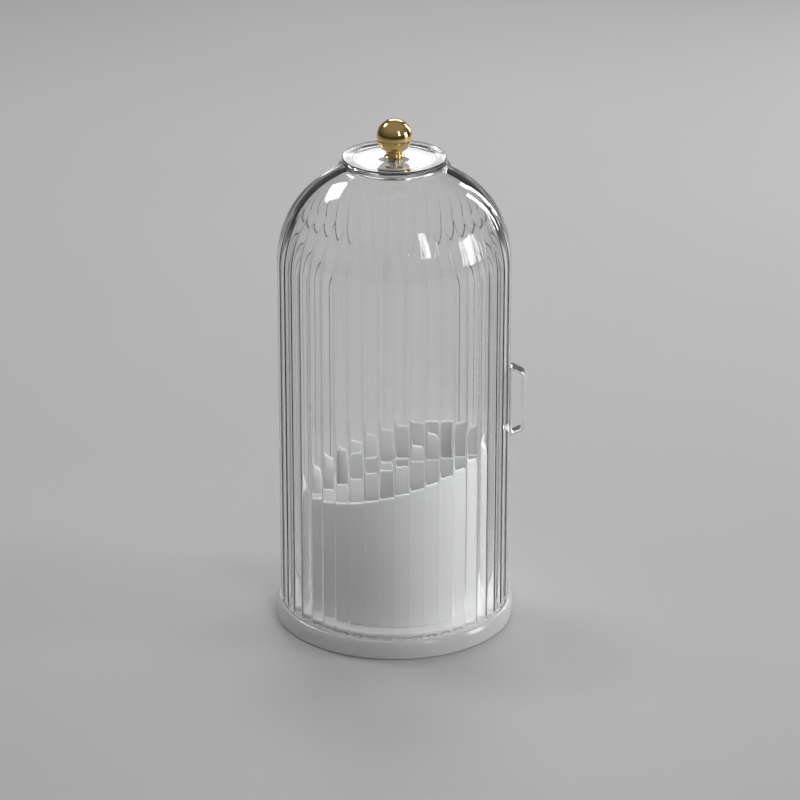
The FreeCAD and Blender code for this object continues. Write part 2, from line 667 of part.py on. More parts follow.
def lid_disc():
    """The clear lid: a disc with a locating ring and a boss for the knob's screw."""
    inner = LID_RING_RADIUS - LID_RING_WALL
    ring_bottom = NECK_TOP - LID_RING_DEPTH
    bore = KNOB_SCREW_RADIUS + SCREW_HOLE_GAP
    return turned([
        (bore, BOSS_BOTTOM, 0), (LID_BOSS_RADIUS, BOSS_BOTTOM, 0), (LID_BOSS_RADIUS, NECK_TOP, 0),
        (inner, NECK_TOP, 0), (inner, ring_bottom, 0), (LID_RING_RADIUS, ring_bottom, 0),
        (LID_RING_RADIUS, NECK_TOP, 0), (NECK_RADIUS, NECK_TOP, 0), (NECK_RADIUS, LID_TOP, LID_ROUND),
        (bore, LID_TOP, 0),
    ])


def knob_collar():
    """The flared collar between lid and ball, dished to seat the ball."""
    bore = KNOB_SCREW_RADIUS + SCREW_HOLE_GAP
    top = KNOB_CENTRE_Z - math.sqrt(KNOB_RADIUS ** 2 - COLLAR_TOP ** 2)
    waist = LID_TOP + (top - LID_TOP) * COLLAR_WAIST_SHARE
    body = turned([
        (bore, LID_TOP, 0), (COLLAR_FOOT, LID_TOP, 0), (COLLAR_WAIST, waist, 0), (COLLAR_TOP, top, 0),
        (bore, top, 0),
    ])
    return body.cut(Part.makeSphere(KNOB_RADIUS, FreeCAD.Vector(0, 0, KNOB_CENTRE_Z)))


def knob_ball():
    """The ball, with a threaded hole for the screw."""
    ball = Part.makeSphere(KNOB_RADIUS, FreeCAD.Vector(0, 0, KNOB_CENTRE_Z))
    hole = Part.makeCylinder(KNOB_SCREW_RADIUS + PILOT_GAP, KNOB_SCREW_GRIP + KNOB_HOLE_SPARE,
                             FreeCAD.Vector(0, 0, KNOB_CENTRE_Z - KNOB_RADIUS))
    return ball.cut(hole)


def knob_washer():
    """The washer under the lid's boss."""
    return ring(KNOB_SCREW_RADIUS + SCREW_HOLE_GAP, KNOB_WASHER_RADIUS,
                BOSS_BOTTOM - KNOB_WASHER_THICKNESS, BOSS_BOTTOM)


def knob_screw():
    """The screw up through the lid into the ball."""
    foot = BOSS_BOTTOM - KNOB_WASHER_THICKNESS
    length = KNOB_CENTRE_Z - KNOB_RADIUS + KNOB_SCREW_GRIP - foot
    return pan_screw(KNOB_SCREW_RADIUS, KNOB_SCREW_HEAD, KNOB_SCREW_HEAD_HEIGHT, length, foot)


def pieces():
    """Every piece under its node's name."""
    return {
        "base_shell": base_shell(),
        "bottom_plate": bottom_plate(),
        "anti_slip_pad": anti_slip_pad(),
        "plate_screws": plate_screws(),
        "lower_race": race(PAN_FLOOR),
        "hub_bush": hub_bush(),
        "rear_cover": rear_cover(),
        "turntable": turntable(),
        "upper_race": race(UPPER_RACE_BOTTOM),
        "brush_cup": brush_cup(),
        "divider_insert": divider_insert(),
        "cup_screws": cup_screws(),
        "pivot_washer": pivot_washer(),
        "pivot_screw": pivot_screw(),
        "ball_cage": ball_cage(),
        "steel_balls": steel_balls(),
        "door_shell": door_shell(),
        "door_handle": door_handle(),
        "lid_disc": lid_disc(),
        "knob_collar": knob_collar(),
        "knob_ball": knob_ball(),
        "knob_washer": knob_washer(),
        "knob_screw": knob_screw(),
    }


def main():
    """Write one STEP file per piece."""
    os.makedirs("parts", exist_ok=True)
    for name, shape in pieces().items():
        shape.exportStep(f"parts/{name}.step")
        print(name, "solids", len(shape.Solids), "valid", shape.isValid(), "volume", round(shape.Volume, 1))


main()
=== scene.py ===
"""Looks of a rotating brush holder under a clear ribbed dome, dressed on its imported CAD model.

Sizes in the classes are in millimetres, as in the CAD, and every mesh is made in metres.
+Z is up, the origin is the middle of the underside, the front is -Y, and angles count from +X
towards +Y in degrees.
"""

import logging
import math
from dataclasses import dataclass, field
from enum import Enum

import bmesh
import bpy
import numpy as np
from mathutils import Euler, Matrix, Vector


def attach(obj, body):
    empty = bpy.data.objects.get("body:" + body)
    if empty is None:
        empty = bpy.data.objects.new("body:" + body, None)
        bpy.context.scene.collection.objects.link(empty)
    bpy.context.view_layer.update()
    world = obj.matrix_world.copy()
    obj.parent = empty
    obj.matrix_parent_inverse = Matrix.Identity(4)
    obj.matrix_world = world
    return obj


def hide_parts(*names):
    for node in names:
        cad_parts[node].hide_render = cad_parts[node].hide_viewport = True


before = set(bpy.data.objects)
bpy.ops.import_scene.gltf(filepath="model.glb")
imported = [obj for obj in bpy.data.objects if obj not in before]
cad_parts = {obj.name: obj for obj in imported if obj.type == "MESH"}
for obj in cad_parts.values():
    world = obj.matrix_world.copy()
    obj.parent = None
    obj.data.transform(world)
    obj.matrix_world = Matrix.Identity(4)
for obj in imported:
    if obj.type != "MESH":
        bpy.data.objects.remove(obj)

logging.basicConfig(level=logging.INFO, format="%(message)s")
LOG = logging.getLogger("holder")

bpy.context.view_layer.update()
MM = 0.001
MERGE_DISTANCE = 1e-7
NO_LENGTH = 1e-9
NO_ANGLE = 1e-6
NO_STEP = 1e-6
NOISE_RANGE = (0.3, 0.7)
Array = np.ndarray


class Body(Enum):
    """The rigid bodies that the pieces ride on."""

    BASE = "base"
    CAROUSEL = "carousel"
    BALL_RING = "ball_ring"
    DOOR = "door"
    LID = "lid"


class Slot(Enum):
    """The record's material slots."""

    WHITE = "white_gloss"
    MATTE = "white_matte"
    CLEAR = "clear_plastic"
    GOLD = "gold"
    STEEL = "steel"
    SILICONE = "silicone"
    ACETAL = "acetal"


# Finishes


class Nodes:
    """A small helper that adds and links the nodes of one material."""

    def __init__(self, name: str) -> None:
        """Start an empty material.

        Args:
            name: The material's name.
        """
        self.material = bpy.data.materials.new(name)
        self.material.use_nodes = True
        self.tree = self.material.node_tree
        self.tree.nodes.clear()
        self.output = self.tree.nodes.new("ShaderNodeOutputMaterial")

    def add(self, kind: str) -> bpy.types.Node:
        """Add a node of the given type."""
        return self.tree.nodes.new(kind)

    def link(self, source: bpy.types.NodeSocket, target: bpy.types.NodeSocket) -> None:
        """Link an output to an input."""
        self.tree.links.new(source, target)

    def noise(
        self, scale: float, detail: float = 2.0, stretch: tuple = (1.0, 1.0, 1.0)
    ) -> bpy.types.NodeSocket:
        """Add a noise pattern on Object coordinates.

        Args:
            scale: Grains per metre.
            detail: Octaves of finer grain.
            stretch: Scale along each axis, where a small number draws the grain out.

        Returns:
            The noise's value, about 0.5.
        """
        place = self.add("ShaderNodeTexCoord")
        mapping = self.add("ShaderNodeMapping")
        mapping.inputs["Scale"].default_value = stretch
        noise = self.add("ShaderNodeTexNoise")
        noise.inputs["Scale"].default_value = scale
        noise.inputs["Detail"].default_value = detail
        self.link(place.outputs["Object"], mapping.inputs["Vector"])
        self.link(mapping.outputs["Vector"], noise.inputs["Vector"])
        return noise.outputs["Fac"]

    def span(self, value: bpy.types.NodeSocket, low: float, high: float) -> bpy.types.NodeSocket:
        """Map a noise's usual range to low to high, in a straight line.

        Args:
            value: The noise.
            low: Result at the noise's usual low.
            high: Result at its usual high.

        Returns:
            The mapped value.
        """
        node = self.add("ShaderNodeMapRange")
        node.inputs["From Min"].default_value = NOISE_RANGE[0]
        node.inputs["From Max"].default_value = NOISE_RANGE[1]
        node.inputs["To Min"].default_value = low
        node.inputs["To Max"].default_value = high
        self.link(value, node.inputs["Value"])
        return node.outputs["Result"]

    def tint(self, value: bpy.types.NodeSocket, low: tuple, high: tuple) -> bpy.types.NodeSocket:
        """Blend between two near colours by a noise's value.

        Args:
            value: The noise.
            low: Colour where it is lowest.
            high: Colour where it is highest.

        Returns:
            The blended colour.
        """
        ramp = self.add("ShaderNodeValToRGB")
        ramp.color_ramp.elements[0].position = NOISE_RANGE[0]
        ramp.color_ramp.elements[0].color = (*low, 1.0)
        ramp.color_ramp.elements[1].position = NOISE_RANGE[1]
        ramp.color_ramp.elements[1].color = (*high, 1.0)
        self.link(value, ramp.inputs["Fac"])
        return ramp.outputs["Color"]

    def bump(self, height: bpy.types.NodeSocket, depth: float) -> bpy.types.NodeSocket:
        """Turn a height pattern into a surface normal.

        Args:
            height: The pattern.
            depth: Its depth in metres.

        Returns:
            The normal.
        """
        node = self.add("ShaderNodeBump")
        node.inputs["Distance"].default_value = depth
        node.inputs["Strength"].default_value = 1.0
        self.link(height, node.inputs["Height"])
        return node.outputs["Normal"]


@dataclass(frozen=True)
class MouldedPlastic:
    """Opaque moulded plastic: faint flow in its colour, orange peel and uneven gloss."""

    name: str
    light: tuple[float, float, float]
    dark: tuple[float, float, float]
    gloss: tuple[float, float]
    peel_scale: float = 260.0
    peel_depth: float = 2.0e-5
    coat: float = 0.0
    coat_roughness: float = 0.06
    index: float = 1.52
    flow_scale: float = 22.0
    gloss_scale: float = 75.0

    def make(self) -> bpy.types.Material:
        """Build the material.

        Returns:
            The material.
        """
        nodes = Nodes(self.name)
        shader = nodes.add("ShaderNodeBsdfPrincipled")
        shader.inputs["IOR"].default_value = self.index
        shader.inputs["Coat Weight"].default_value = self.coat
        shader.inputs["Coat Roughness"].default_value = self.coat_roughness
        colour = nodes.tint(nodes.noise(self.flow_scale), self.dark, self.light)
        roughness = nodes.span(nodes.noise(self.gloss_scale, 4.0), *self.gloss)
        peel = nodes.bump(nodes.noise(self.peel_scale, 3.0), self.peel_depth)
        nodes.link(colour, shader.inputs["Base Color"])
        nodes.link(roughness, shader.inputs["Roughness"])
        nodes.link(peel, shader.inputs["Normal"])
        nodes.link(shader.outputs["BSDF"], nodes.output.inputs["Surface"])
        return nodes.material


@dataclass(frozen=True)
class ClearPlastic:
    """Clear polished plastic: drawn-out flow waves, a trace of haze, and lamps shine through it."""

    name: str
    colour: tuple[float, float, float]
    index: float = 1.53
    wave_scale: float = 38.0
    wave_depth: float = 6.0e-5
    wave_stretch: tuple[float, float, float] = (1.0, 1.0, 0.12)
    haze: tuple[float, float] = (0.004, 0.03)
    haze_scale: float = 60.0
    shadow: tuple[float, float, float] = (0.93, 0.94, 0.94)

    def make(self) -> bpy.types.Material:
        """Build the material.

        Returns:
            The material.
        """
        nodes = Nodes(self.name)
        shader = nodes.add("ShaderNodeBsdfPrincipled")
        shader.inputs["Base Color"].default_value = (*self.colour, 1.0)
        shader.inputs["IOR"].default_value = self.index
        shader.inputs["Transmission Weight"].default_value = 1.0
        roughness = nodes.span(nodes.noise(self.haze_scale, 4.0), *self.haze)
        nodes.link(roughness, shader.inputs["Roughness"])
        flow = nodes.noise(self.wave_scale, 2.0, self.wave_stretch)
        nodes.link(nodes.bump(flow, self.wave_depth), shader.inputs["Normal"])
        through = nodes.add("ShaderNodeBsdfTransparent")
        through.inputs["Color"].default_value = (*self.shadow, 1.0)
        path = nodes.add("ShaderNodeLightPath")
        mix = nodes.add("ShaderNodeMixShader")
        nodes.link(path.outputs["Is Shadow Ray"], mix.inputs["Fac"])
        nodes.link(shader.outputs["BSDF"], mix.inputs[1])
        nodes.link(through.outputs["BSDF"], mix.inputs[2])
        nodes.link(mix.outputs["Shader"], nodes.output.inputs["Surface"])
        return nodes.material


@dataclass(frozen=True)
class Metal:
    """Bare or plated metal: colour drift, turned or polished marks and uneven gloss."""

    name: str
    light: tuple[float, float, float]
    dark: tuple[float, float, float]
    gloss: tuple[float, float]
    mark_stretch: tuple[float, float, float] = (1.0, 1.0, 12.0)
    mark_depth: float = 4.0e-6
    mark_scale: float = 500.0
    drift_scale: float = 90.0
    gloss_scale: float = 420.0

    def make(self) -> bpy.types.Material:
        """Build the material.

        Returns:
            The material.
        """
        nodes = Nodes(self.name)
        shader = nodes.add("ShaderNodeBsdfPrincipled")
        shader.inputs["Metallic"].default_value = 1.0
        colour = nodes.tint(nodes.noise(self.drift_scale), self.dark, self.light)
        roughness = nodes.span(nodes.noise(self.gloss_scale, 4.0), *self.gloss)
        nodes.link(colour, shader.inputs["Base Color"])
        nodes.link(roughness, shader.inputs["Roughness"])
        marks = nodes.noise(self.mark_scale, 3.0, self.mark_stretch)
        nodes.link(nodes.bump(marks, self.mark_depth), shader.inputs["Normal"])
        nodes.link(shader.outputs["BSDF"], nodes.output.inputs["Surface"])
        return nodes.material


FINISHES = {
    Slot.WHITE: MouldedPlastic(
        "white_gloss_plastic", (0.84, 0.84, 0.83), (0.80, 0.80, 0.79), (0.16, 0.26), coat=0.35
    ),
    Slot.MATTE: MouldedPlastic(
        "white_matte_plastic", (0.78, 0.78, 0.77), (0.73, 0.73, 0.72), (0.48, 0.62),
        peel_scale=1400.0, peel_depth=4.0e-5,
    ),
    Slot.ACETAL: MouldedPlastic(
        "milky_acetal", (0.85, 0.85, 0.82), (0.80, 0.80, 0.77), (0.34, 0.48), peel_scale=700.0
    ),
    Slot.SILICONE: MouldedPlastic(
        "soft_silicone", (0.74, 0.74, 0.73), (0.68, 0.68, 0.67), (0.62, 0.8),
        peel_scale=2200.0, peel_depth=6.0e-5,
    ),
    Slot.CLEAR: ClearPlastic("clear_dome_plastic", (0.985, 0.99, 0.99)),
    Slot.GOLD: Metal("polished_gold", (0.93, 0.68, 0.29), (0.87, 0.60, 0.22), (0.05, 0.12)),
    Slot.STEEL: Metal("plated_steel", (0.74, 0.74, 0.76), (0.62, 0.62, 0.64), (0.18, 0.34)),
}


class Dressing:
    """Makes each finish once and hands it out by slot."""

    def __init__(self) -> None:
        """Build every finish's material."""
        self.materials = {slot: finish.make() for slot, finish in FINISHES.items()}

    def dress(self, piece: bpy.types.Object, slot: Slot) -> None:
        """Give a piece its finish.

        Args:
            piece: A new piece or a CAD node.
            slot: The slot whose finish it takes.
        """
        piece.data.materials.clear()
        piece.data.materials.append(self.materials[slot])


# Surfaces


def mesh_piece(name: str, points: Array, faces: Array, crease: float = 50.0) -> bpy.types.Object:
    """Make a smooth-shaded mesh object from points in millimetres.

    Args:
        name: The piece's name.
        points: N by 3 points.
        faces: M by 4 corners of the faces.
        crease: Edges that turn by more than this many degrees stay sharp.

    Returns:
        The linked object, its doubled points merged so that poles are closed.
    """
    mesh = bpy.data.meshes.new(name)
    mesh.from_pydata((points * MM).tolist(), [], faces.tolist())
    piece = bpy.data.objects.new(name, mesh)
    bpy.context.scene.collection.objects.link(piece)
    merge_points(mesh)
    mesh.polygons.foreach_set("use_smooth", np.ones(len(mesh.polygons), bool))
    mesh.set_sharp_from_angle(angle=math.radians(crease))
    mesh.update()
    return piece


def merge_points(mesh: bpy.types.Mesh) -> None:
    """Merge points that lie on each other, which closes poles and seams.

    Args:
        mesh: The mesh, changed in place.
    """
    work = bmesh.new()
    work.from_mesh(mesh)
    bmesh.ops.remove_doubles(work, verts=work.verts, dist=MERGE_DISTANCE)
    work.to_mesh(mesh)
    work.free()


def grid_faces(
    rows: int, columns: int, wrap_rows: bool, wrap_columns: bool, first: int = 0
) -> Array:
    """Faces of a grid of points, each from four neighbours, wrapped round where asked.

    Args:
        rows: Points along the first parameter.
        columns: Points along the second parameter.
        wrap_rows: Whether the last row joins the first.
        wrap_columns: Whether the last column joins the first.
        first: Index of the grid's first point.

    Returns:
        M by 4 corners that face outwards when rows go up and columns go round.
    """
    i = np.arange(rows if wrap_rows else rows - 1)[:, None]
    j = np.arange(columns if wrap_columns else columns - 1)[None, :]
    low, high = i * columns, (i + 1) % rows * columns
    left, right = j, (j + 1) % columns
    return first + np.stack([low + left, low + right, high + right, high + left], -1).reshape(-1, 4)


def unit(vectors: Array) -> Array:
    """Vectors brought to length one; one without length stays as it is."""
    return vectors / np.maximum(np.linalg.norm(vectors, axis=1, keepdims=True), NO_LENGTH)


def rounded(
    corners: list[tuple[float, float, float]], closed: bool = True, steps: int = 6
) -> Array:
    """Round a profile's corners.

    Each corner is replaced by an arc that touches both of its sides: the arc starts at the corner's
    radius over the tangent of half its angle, and its points turn evenly about the arc's centre.

    Args:
        corners: (radius, height, rounding) triples.
        closed: Whether the last corner joins the first.
        steps: Points of each arc, less one.

    Returns:
        K by 2 points of the rounded profile.
    """
    data = np.array(corners, float)
    here, radius = data[:, :2], data[:, 2:]
    back = np.roll(here, 1, 0) - here
    ahead = np.roll(here, -1, 0) - here
    if not closed:
        back[0], ahead[-1] = -ahead[0], -back[-1]
        radius[0] = radius[-1] = 0.0
    back, ahead = unit(back), unit(ahead)
    half = np.arccos(np.clip((back * ahead).sum(1), -1, 1))[:, None] / 2
    middle = unit(back + ahead)
    half = np.maximum(half, NO_ANGLE)
    centre = here + middle * radius / np.sin(half)
    start = here + back * radius / np.tan(half) - centre
    end = here + ahead * radius / np.tan(half) - centre
    share = np.linspace(0, 1, steps + 1)[None, :, None]
    turn = (math.pi - 2 * half)[:, :, None]
    safe = np.maximum(np.sin(turn), NO_ANGLE)
    arc = (start[:, None] * np.sin((1 - share) * turn) + end[:, None] * np.sin(share * turn)) / safe
    points = (centre[:, None] + arc).reshape(-1, 2)
    step = np.linalg.norm(points - np.roll(points, 1, 0), axis=1)
    return points[(step > NO_STEP) | (np.arange(len(points)) == 0) & (not closed)]


def revolved(name: str, profile: Array, columns: int, closed: bool = True) -> bpy.types.Object:
    """Turn a profile about Z: each point keeps its height and goes round at its radius.

    Args:
        name: The piece's name.
        profile: K by 2 points of radius and height; an open profile starts and ends on the axis.
        columns: Points round the turn.
        closed: Whether the profile's last point joins its first.

    Returns:
        The piece.
    """
    points = spun(profile, columns)
    return mesh_piece(name, points, grid_faces(len(profile), columns, closed, True))


def anticlockwise(profile: Array) -> Array:
    """The profile in the order that makes a turned surface face outwards.

    Args:
        profile: K by 2 points of radius and height.

    Returns:
        The same points, reversed where their signed area is negative.
    """
    x, y = profile[:, 0], profile[:, 1]
    area = (x * np.roll(y, -1) - np.roll(x, -1) * y).sum()
    return profile if area > 0 else profile[::-1]


def spun(profile: Array, columns: int) -> Array:
    """Turn a profile about Z.

    Args:
        profile: K by 2 points of radius and height.
        columns: Points round the turn.

    Returns:
        The points, row by row.
    """
    profile = anticlockwise(profile)
    angle = np.arange(columns) * 2 * math.pi / columns
    radius, height = profile[:, :1], profile[:, 1:]
    points = np.stack([radius * np.cos(angle), radius * np.sin(angle), height + 0 * angle], -1)
    return points.reshape(-1, 3)


# The clear dome


@dataclass
class Dome:
    """The ribbed dome's outline and ribs, at a given inset from the door's crests."""

    radius: float = 64.1
    wall: float = 2.4
    shoulder_z: float = 210.9
    shoulder_rise: float = 58.6
    shoulder_centre: float = 6.0
    shoulder_end: float = 65.0
    neck_radius: float = 28.3
    collar_bottom: float = 264.0
    rib_pitch: float = 7.5
    rib_depth: float = 0.45
    rib_foot: float = 10.9
    rib_fade_end: float = 44.0
    rib_fade_power: float = 2.0
    arc_share: float = 0.45
    groove_half: float = 0.45
    groove_fade: float = 1.4
    edge_round: float = 0.35
    half_columns: tuple[float, ...] = (0.0, 0.022, 0.045, 0.072, 0.11, 0.2, 0.34, 0.5)
    heel_drop: float = 0.6
    round_margin: tuple[float, float] = (0.3, 0.4)
    wall_margin: tuple[float, float] = (8.0, 5.0)
    near_shoulder: tuple[float, ...] = (2.0, 0.7, 0.0)
    mouth_gap: float = 0.02
    end_soft: float = 0.5
    least_depth: float = 1e-4
    round_rows: int = 26
    wall_rows: int = 9
    shoulder_rows: int = 30
    crown_rows: int = 60
    collar_rows: int = 14
    collar_columns: int = 96

    def crown(self, inset: float) -> Array:
        """The crown's outline: an elliptic brow, then a hollow arc that meets the neck upright.

        Args:
            inset: Distance inside the door's crests.

        Returns:
            Points of radius and height from the end of the ribs to the throat.
        """
        wide = self.radius - self.shoulder_centre - inset
        high = self.shoulder_rise - inset
        end = math.radians(self.shoulder_end)
        angle = np.linspace(math.radians(self.rib_fade_end), end, self.crown_rows)
        across = self.shoulder_centre + wide * np.cos(angle)
        brow = np.stack([across, self.shoulder_z + high * np.sin(angle)], -1)
        sweep = math.pi / 2 - math.atan2(high * math.cos(end), wide * math.sin(end))
        neck = self.neck_radius - inset
        flare = (brow[-1, 0] - neck) / (1 - math.cos(sweep))
        turn = np.linspace(sweep, 0, self.crown_rows)[1:]
        centre = np.array([neck + flare, brow[-1, 1] + flare * math.sin(sweep)])
        hollow = centre - flare * np.stack([np.cos(turn), np.sin(turn)], -1)
        return np.concatenate([brow, hollow])

    def rows(self, inset: float, foot: float, top: float) -> tuple[Array, Array, Array, int]:
        """The shell's rows from foot to neck.

        Heel, rounded rib ends and straight wall at a steady radius, then the shoulder's ellipse
        with the ribs fading as a power of a cosine, then the smooth crown, split where the collar
        starts.

        Args:
            inset: Distance inside the door's crests.
            foot: Height of the lowest row.
            top: Height of the highest row.

        Returns:
            Each row's crest radius, height and rib depth, and the index of the collar's first row.
        """
        crest = self.radius - inset
        end = self.rib_foot + crest * math.sin(math.radians(self.rib_pitch / 2))
        heel = np.array([foot, self.rib_foot - self.heel_drop])
        before, after = self.round_margin
        rounds = np.linspace(self.rib_foot - before, end + after, self.round_rows)
        from_end, to_shoulder = self.wall_margin
        straight = np.linspace(end + from_end, self.shoulder_z - to_shoulder, self.wall_rows)
        near_shoulder = self.shoulder_z - np.array(self.near_shoulder)
        heights = np.concatenate([heel, rounds, straight, near_shoulder])
        share = np.linspace(0, 1, self.shoulder_rows)[1:]
        angle = np.radians(self.rib_fade_end) * share
        wide = crest - self.shoulder_centre
        high = self.shoulder_rise - inset
        crown = self.crown(inset)
        mouth = [float(np.interp(top, crown[:, 1], crown[:, 0])), top]
        crown = np.concatenate([crown[crown[:, 1] < top - self.mouth_gap], [mouth]])
        split = np.interp(self.collar_bottom, crown[:, 1], np.arange(len(crown)))
        below = self.resampled(crown, 0, split, self.collar_rows)
        above = self.resampled(crown, split, len(crown) - 1, self.collar_rows)
        smooth = np.concatenate([below[1:], above[1:]])
        steady = np.full(len(heights), crest)
        shoulder = self.shoulder_centre + wide * np.cos(angle)
        radii = np.concatenate([steady, shoulder, smooth[:, 0]])
        z = np.concatenate([heights, self.shoulder_z + high * np.sin(angle), smooth[:, 1]])
        fade = np.maximum(np.cos(share * math.pi / 2), 0.0) ** self.rib_fade_power
        depth = np.concatenate(
            [np.full(len(heights), self.rib_depth), self.rib_depth * fade, np.zeros(len(smooth))]
        )
        return radii, z, depth, len(heights) + len(share) + len(below) - 2

    @staticmethod
    def resampled(curve: Array, start: float, end: float, count: int) -> Array:
        """Sample a curve at even steps between two of its fractional indices.

        Args:
            curve: K by 2 points.
            start: First index.
            end: Last index.
            count: How many points to take.

        Returns:
            The sampled points.
        """
        at = np.linspace(start, end, count)
        index = np.arange(len(curve))
        return np.stack([np.interp(at, index, curve[:, 0]), np.interp(at, index, curve[:, 1])], -1)

    def rib_columns(self, start: float, ribs: int) -> Array:
        """Angles across the ribs, much closer together at the valleys, where the grooves lie.

        Args:
            start: Angle of the first valley.
            ribs: How many ribs.

        Returns:
            The angles from the first valley to the last.
        """
        half = np.array(self.half_columns)
        share = np.concatenate([half, 1 - half[-2::-1]])
        columns = start + (np.arange(ribs)[:, None] + share[None, :-1]) * self.rib_pitch
        return np.append(columns.ravel(), start + ribs * self.rib_pitch)

    def ribbed(self, radii: Array, z: Array, depth: Array, angles: Array, start: float) -> Array:
        """Radius of the ribbed face at each row and column.

        A rib's section is a circle's arc through both valleys and the crest: with centre distance
        c and radius q, the radius at an angle t from the crest is c cos t + the root of q squared
        minus the square of c sin t. The arc takes a share of the rib's depth, and a fine groove in
        each valley the rest. The groove's depth falls off as the exponential of minus the square of
        the distance from the valley over the groove's half width, and it fades as a power of the
        rib's own depth. A rib's lower end is a half circle as wide as the rib, with a soft edge.

        Args:
            radii: Each row's crest radius.
            z: Each row's height.
            depth: Each row's rib depth.
            angles: Each column's angle.
            start: Angle of the first valley.

        Returns:
            Rows by columns of radius.
        """
        phase = (angles - start) % self.rib_pitch - self.rib_pitch / 2
        turn = np.radians(phase)[None, :]
        arc = np.maximum(self.arc_share * depth, self.least_depth)
        crest, low = radii[:, None], (radii - arc)[:, None]
        half = math.radians(self.rib_pitch / 2)
        chord, rise = low * math.sin(half), crest - low * math.cos(half)
        bend = (chord ** 2 + rise ** 2) / (2 * rise)
        centre = crest - bend
        face = centre * np.cos(turn) + np.sqrt(bend ** 2 - (centre * np.sin(turn)) ** 2)
        away = crest * np.radians(self.rib_pitch / 2 - np.abs(phase))[None, :]
        sink = (1 - self.arc_share) * self.rib_depth * (depth / self.rib_depth) ** self.groove_fade
        face = face - sink[:, None] * np.exp(-((away / self.groove_half) ** 2))
        reach = crest[0, 0] * math.sin(half)
        across = crest[0, 0] * np.sin(turn)
        below = np.maximum(self.rib_foot + reach - z[:, None], 0.0)
        edge = reach - np.hypot(across, below)
        cover = np.clip(edge / self.end_soft + 0.5, 0, 1)
        cover = cover * cover * (3 - 2 * cover)
        cover = np.where(below > 0, cover, 1.0)
        valley = np.minimum(face, crest[0, 0] - self.rib_depth)
        return np.where(z[:, None] < self.shoulder_z, valley + (face - valley) * cover, face)

    @staticmethod
    def placed(radius: Array, turn: Array, z: Array) -> Array:
        """Points at each row's height and each column's angle, at the radius of each."""
        return np.stack([radius * np.cos(turn), radius * np.sin(turn), z[:, None] + 0 * turn], -1)

    def shell(
        self, name: str, inset: float, start: float, ribs: int, foot: float, top: float
    ) -> bpy.types.Object:
        """Build one closed shell: ribbed outside, smooth inside, rounded edges, whole collar.

        Args:
            name: The piece's name.
            inset: Distance of its crests inside the door's crests.
            start: Angle of its first edge.
            ribs: How many ribs it spans.
            foot: Height of its lower edge.
            top: Height of its neck.

        Returns:
            The piece.
        """
        foot, top = foot + self.edge_round, top - self.edge_round
        radii, z, depth, flange = self.rows(inset, foot, top)
        inner_radii, inner_z, _, _ = self.rows(inset + self.wall, foot, top)
        span = ribs * self.rib_pitch
        trim = math.degrees(self.edge_round / self.radius)
        columns = self.rib_columns(start, ribs)
        columns[0], columns[-1] = start + trim, start + span - trim
        rest = np.linspace(start + span, start + 360, self.collar_columns)[1:-1]
        angles = np.concatenate([columns, rest])
        outer = self.ribbed(radii, z, depth, angles, start)
        turn = np.radians(angles)[None, :]
        outside = self.placed(outer, turn, z)
        inside = self.placed(inner_radii[:, None] + 0 * turn, turn, inner_z)
        cells = np.zeros((len(z) - 1, len(angles)), bool)
        cells[:, : len(columns) - 1] = True
        cells[flange:, :] = True
        points, faces = walled(outside, inside, cells, self.edge_round)
        return mesh_piece(name, points, faces)


def walled(
    outside: Array, inside: Array, cells: Array, bulge: float, steps: int = 6
) -> tuple[Array, Array]:
    """Close two matching grids, whose columns wrap round, into one solid skin over chosen cells.

    Along every open border the wall between the grids swells outwards by the bulge times the fourth
    root of the sine of its share across, a half turn being the whole wall. That rounds the edge.

    Args:
        outside: Rows by columns by 3 points of the outer face.
        inside: The same of the inner face.
        cells: Which cells of the grid are there.
        bulge: How far the border's wall swells.
        steps: Strips across the wall.

    Returns:
        The points and the faces.
    """
    rows, columns = outside.shape[:2]
    index = np.arange(rows * columns).reshape(rows, columns)
    right = np.roll(index, -1, 1)
    quads = np.stack([index[:-1], right[:-1], right[1:], index[1:]], -1)
    faces = [quads[cells], quads[cells][:, ::-1] + rows * columns]
    flat_out, flat_in = outside.reshape(-1, 3), inside.reshape(-1, 3)
    padded = np.pad(cells, ((1, 1), (0, 0)))
    low, high = padded[:-1], padded[1:]
    left_cell = np.roll(cells, 1, 1)
    borders = [
        (index[high & ~low], right[high & ~low]),
        (right[low & ~high], index[low & ~high]),
        (index[1:][cells & ~left_cell], index[:-1][cells & ~left_cell]),
        (index[:-1][left_cell & ~cells], index[1:][left_cell & ~cells]),
    ]
    starts = np.concatenate([b[0] for b in borders])
    ends = np.concatenate([b[1] for b in borders])
    along = flat_out[ends] - flat_out[starts]
    across = (flat_in[starts] + flat_in[ends] - flat_out[starts] - flat_out[ends]) / 2
    away = unit(np.cross(along, across))
    push = np.zeros_like(flat_out)
    np.add.at(push, starts, away)
    np.add.at(push, ends, away)
    used = np.unique(np.concatenate([starts, ends]))
    push = unit(push[used])
    share = np.linspace(0, 1, steps + 1)[1:-1][:, None, None]
    swell = bulge * np.sin(math.pi * share) ** 0.25
    strip = flat_out[used] * (1 - share) + flat_in[used] * share + push * swell
    place = np.zeros(rows * columns, int)
    place[used] = np.arange(len(used))
    first = 2 * rows * columns
    ladder = np.concatenate(
        [used[None, :], first + np.arange(strip.shape[0] * len(used)).reshape(strip.shape[0], -1),
         used[None, :] + rows * columns]
    )
    a, b = ladder[:, place[starts]], ladder[:, place[ends]]
    faces.append(np.stack([b[:-1], a[:-1], a[1:], b[1:]], -1).reshape(-1, 4))
    points = np.concatenate([flat_out, flat_in, strip.reshape(-1, 3)])
    every = np.concatenate(faces)
    kept, renumbered = np.unique(every, return_inverse=True)
    return points[kept], renumbered.reshape(every.shape)


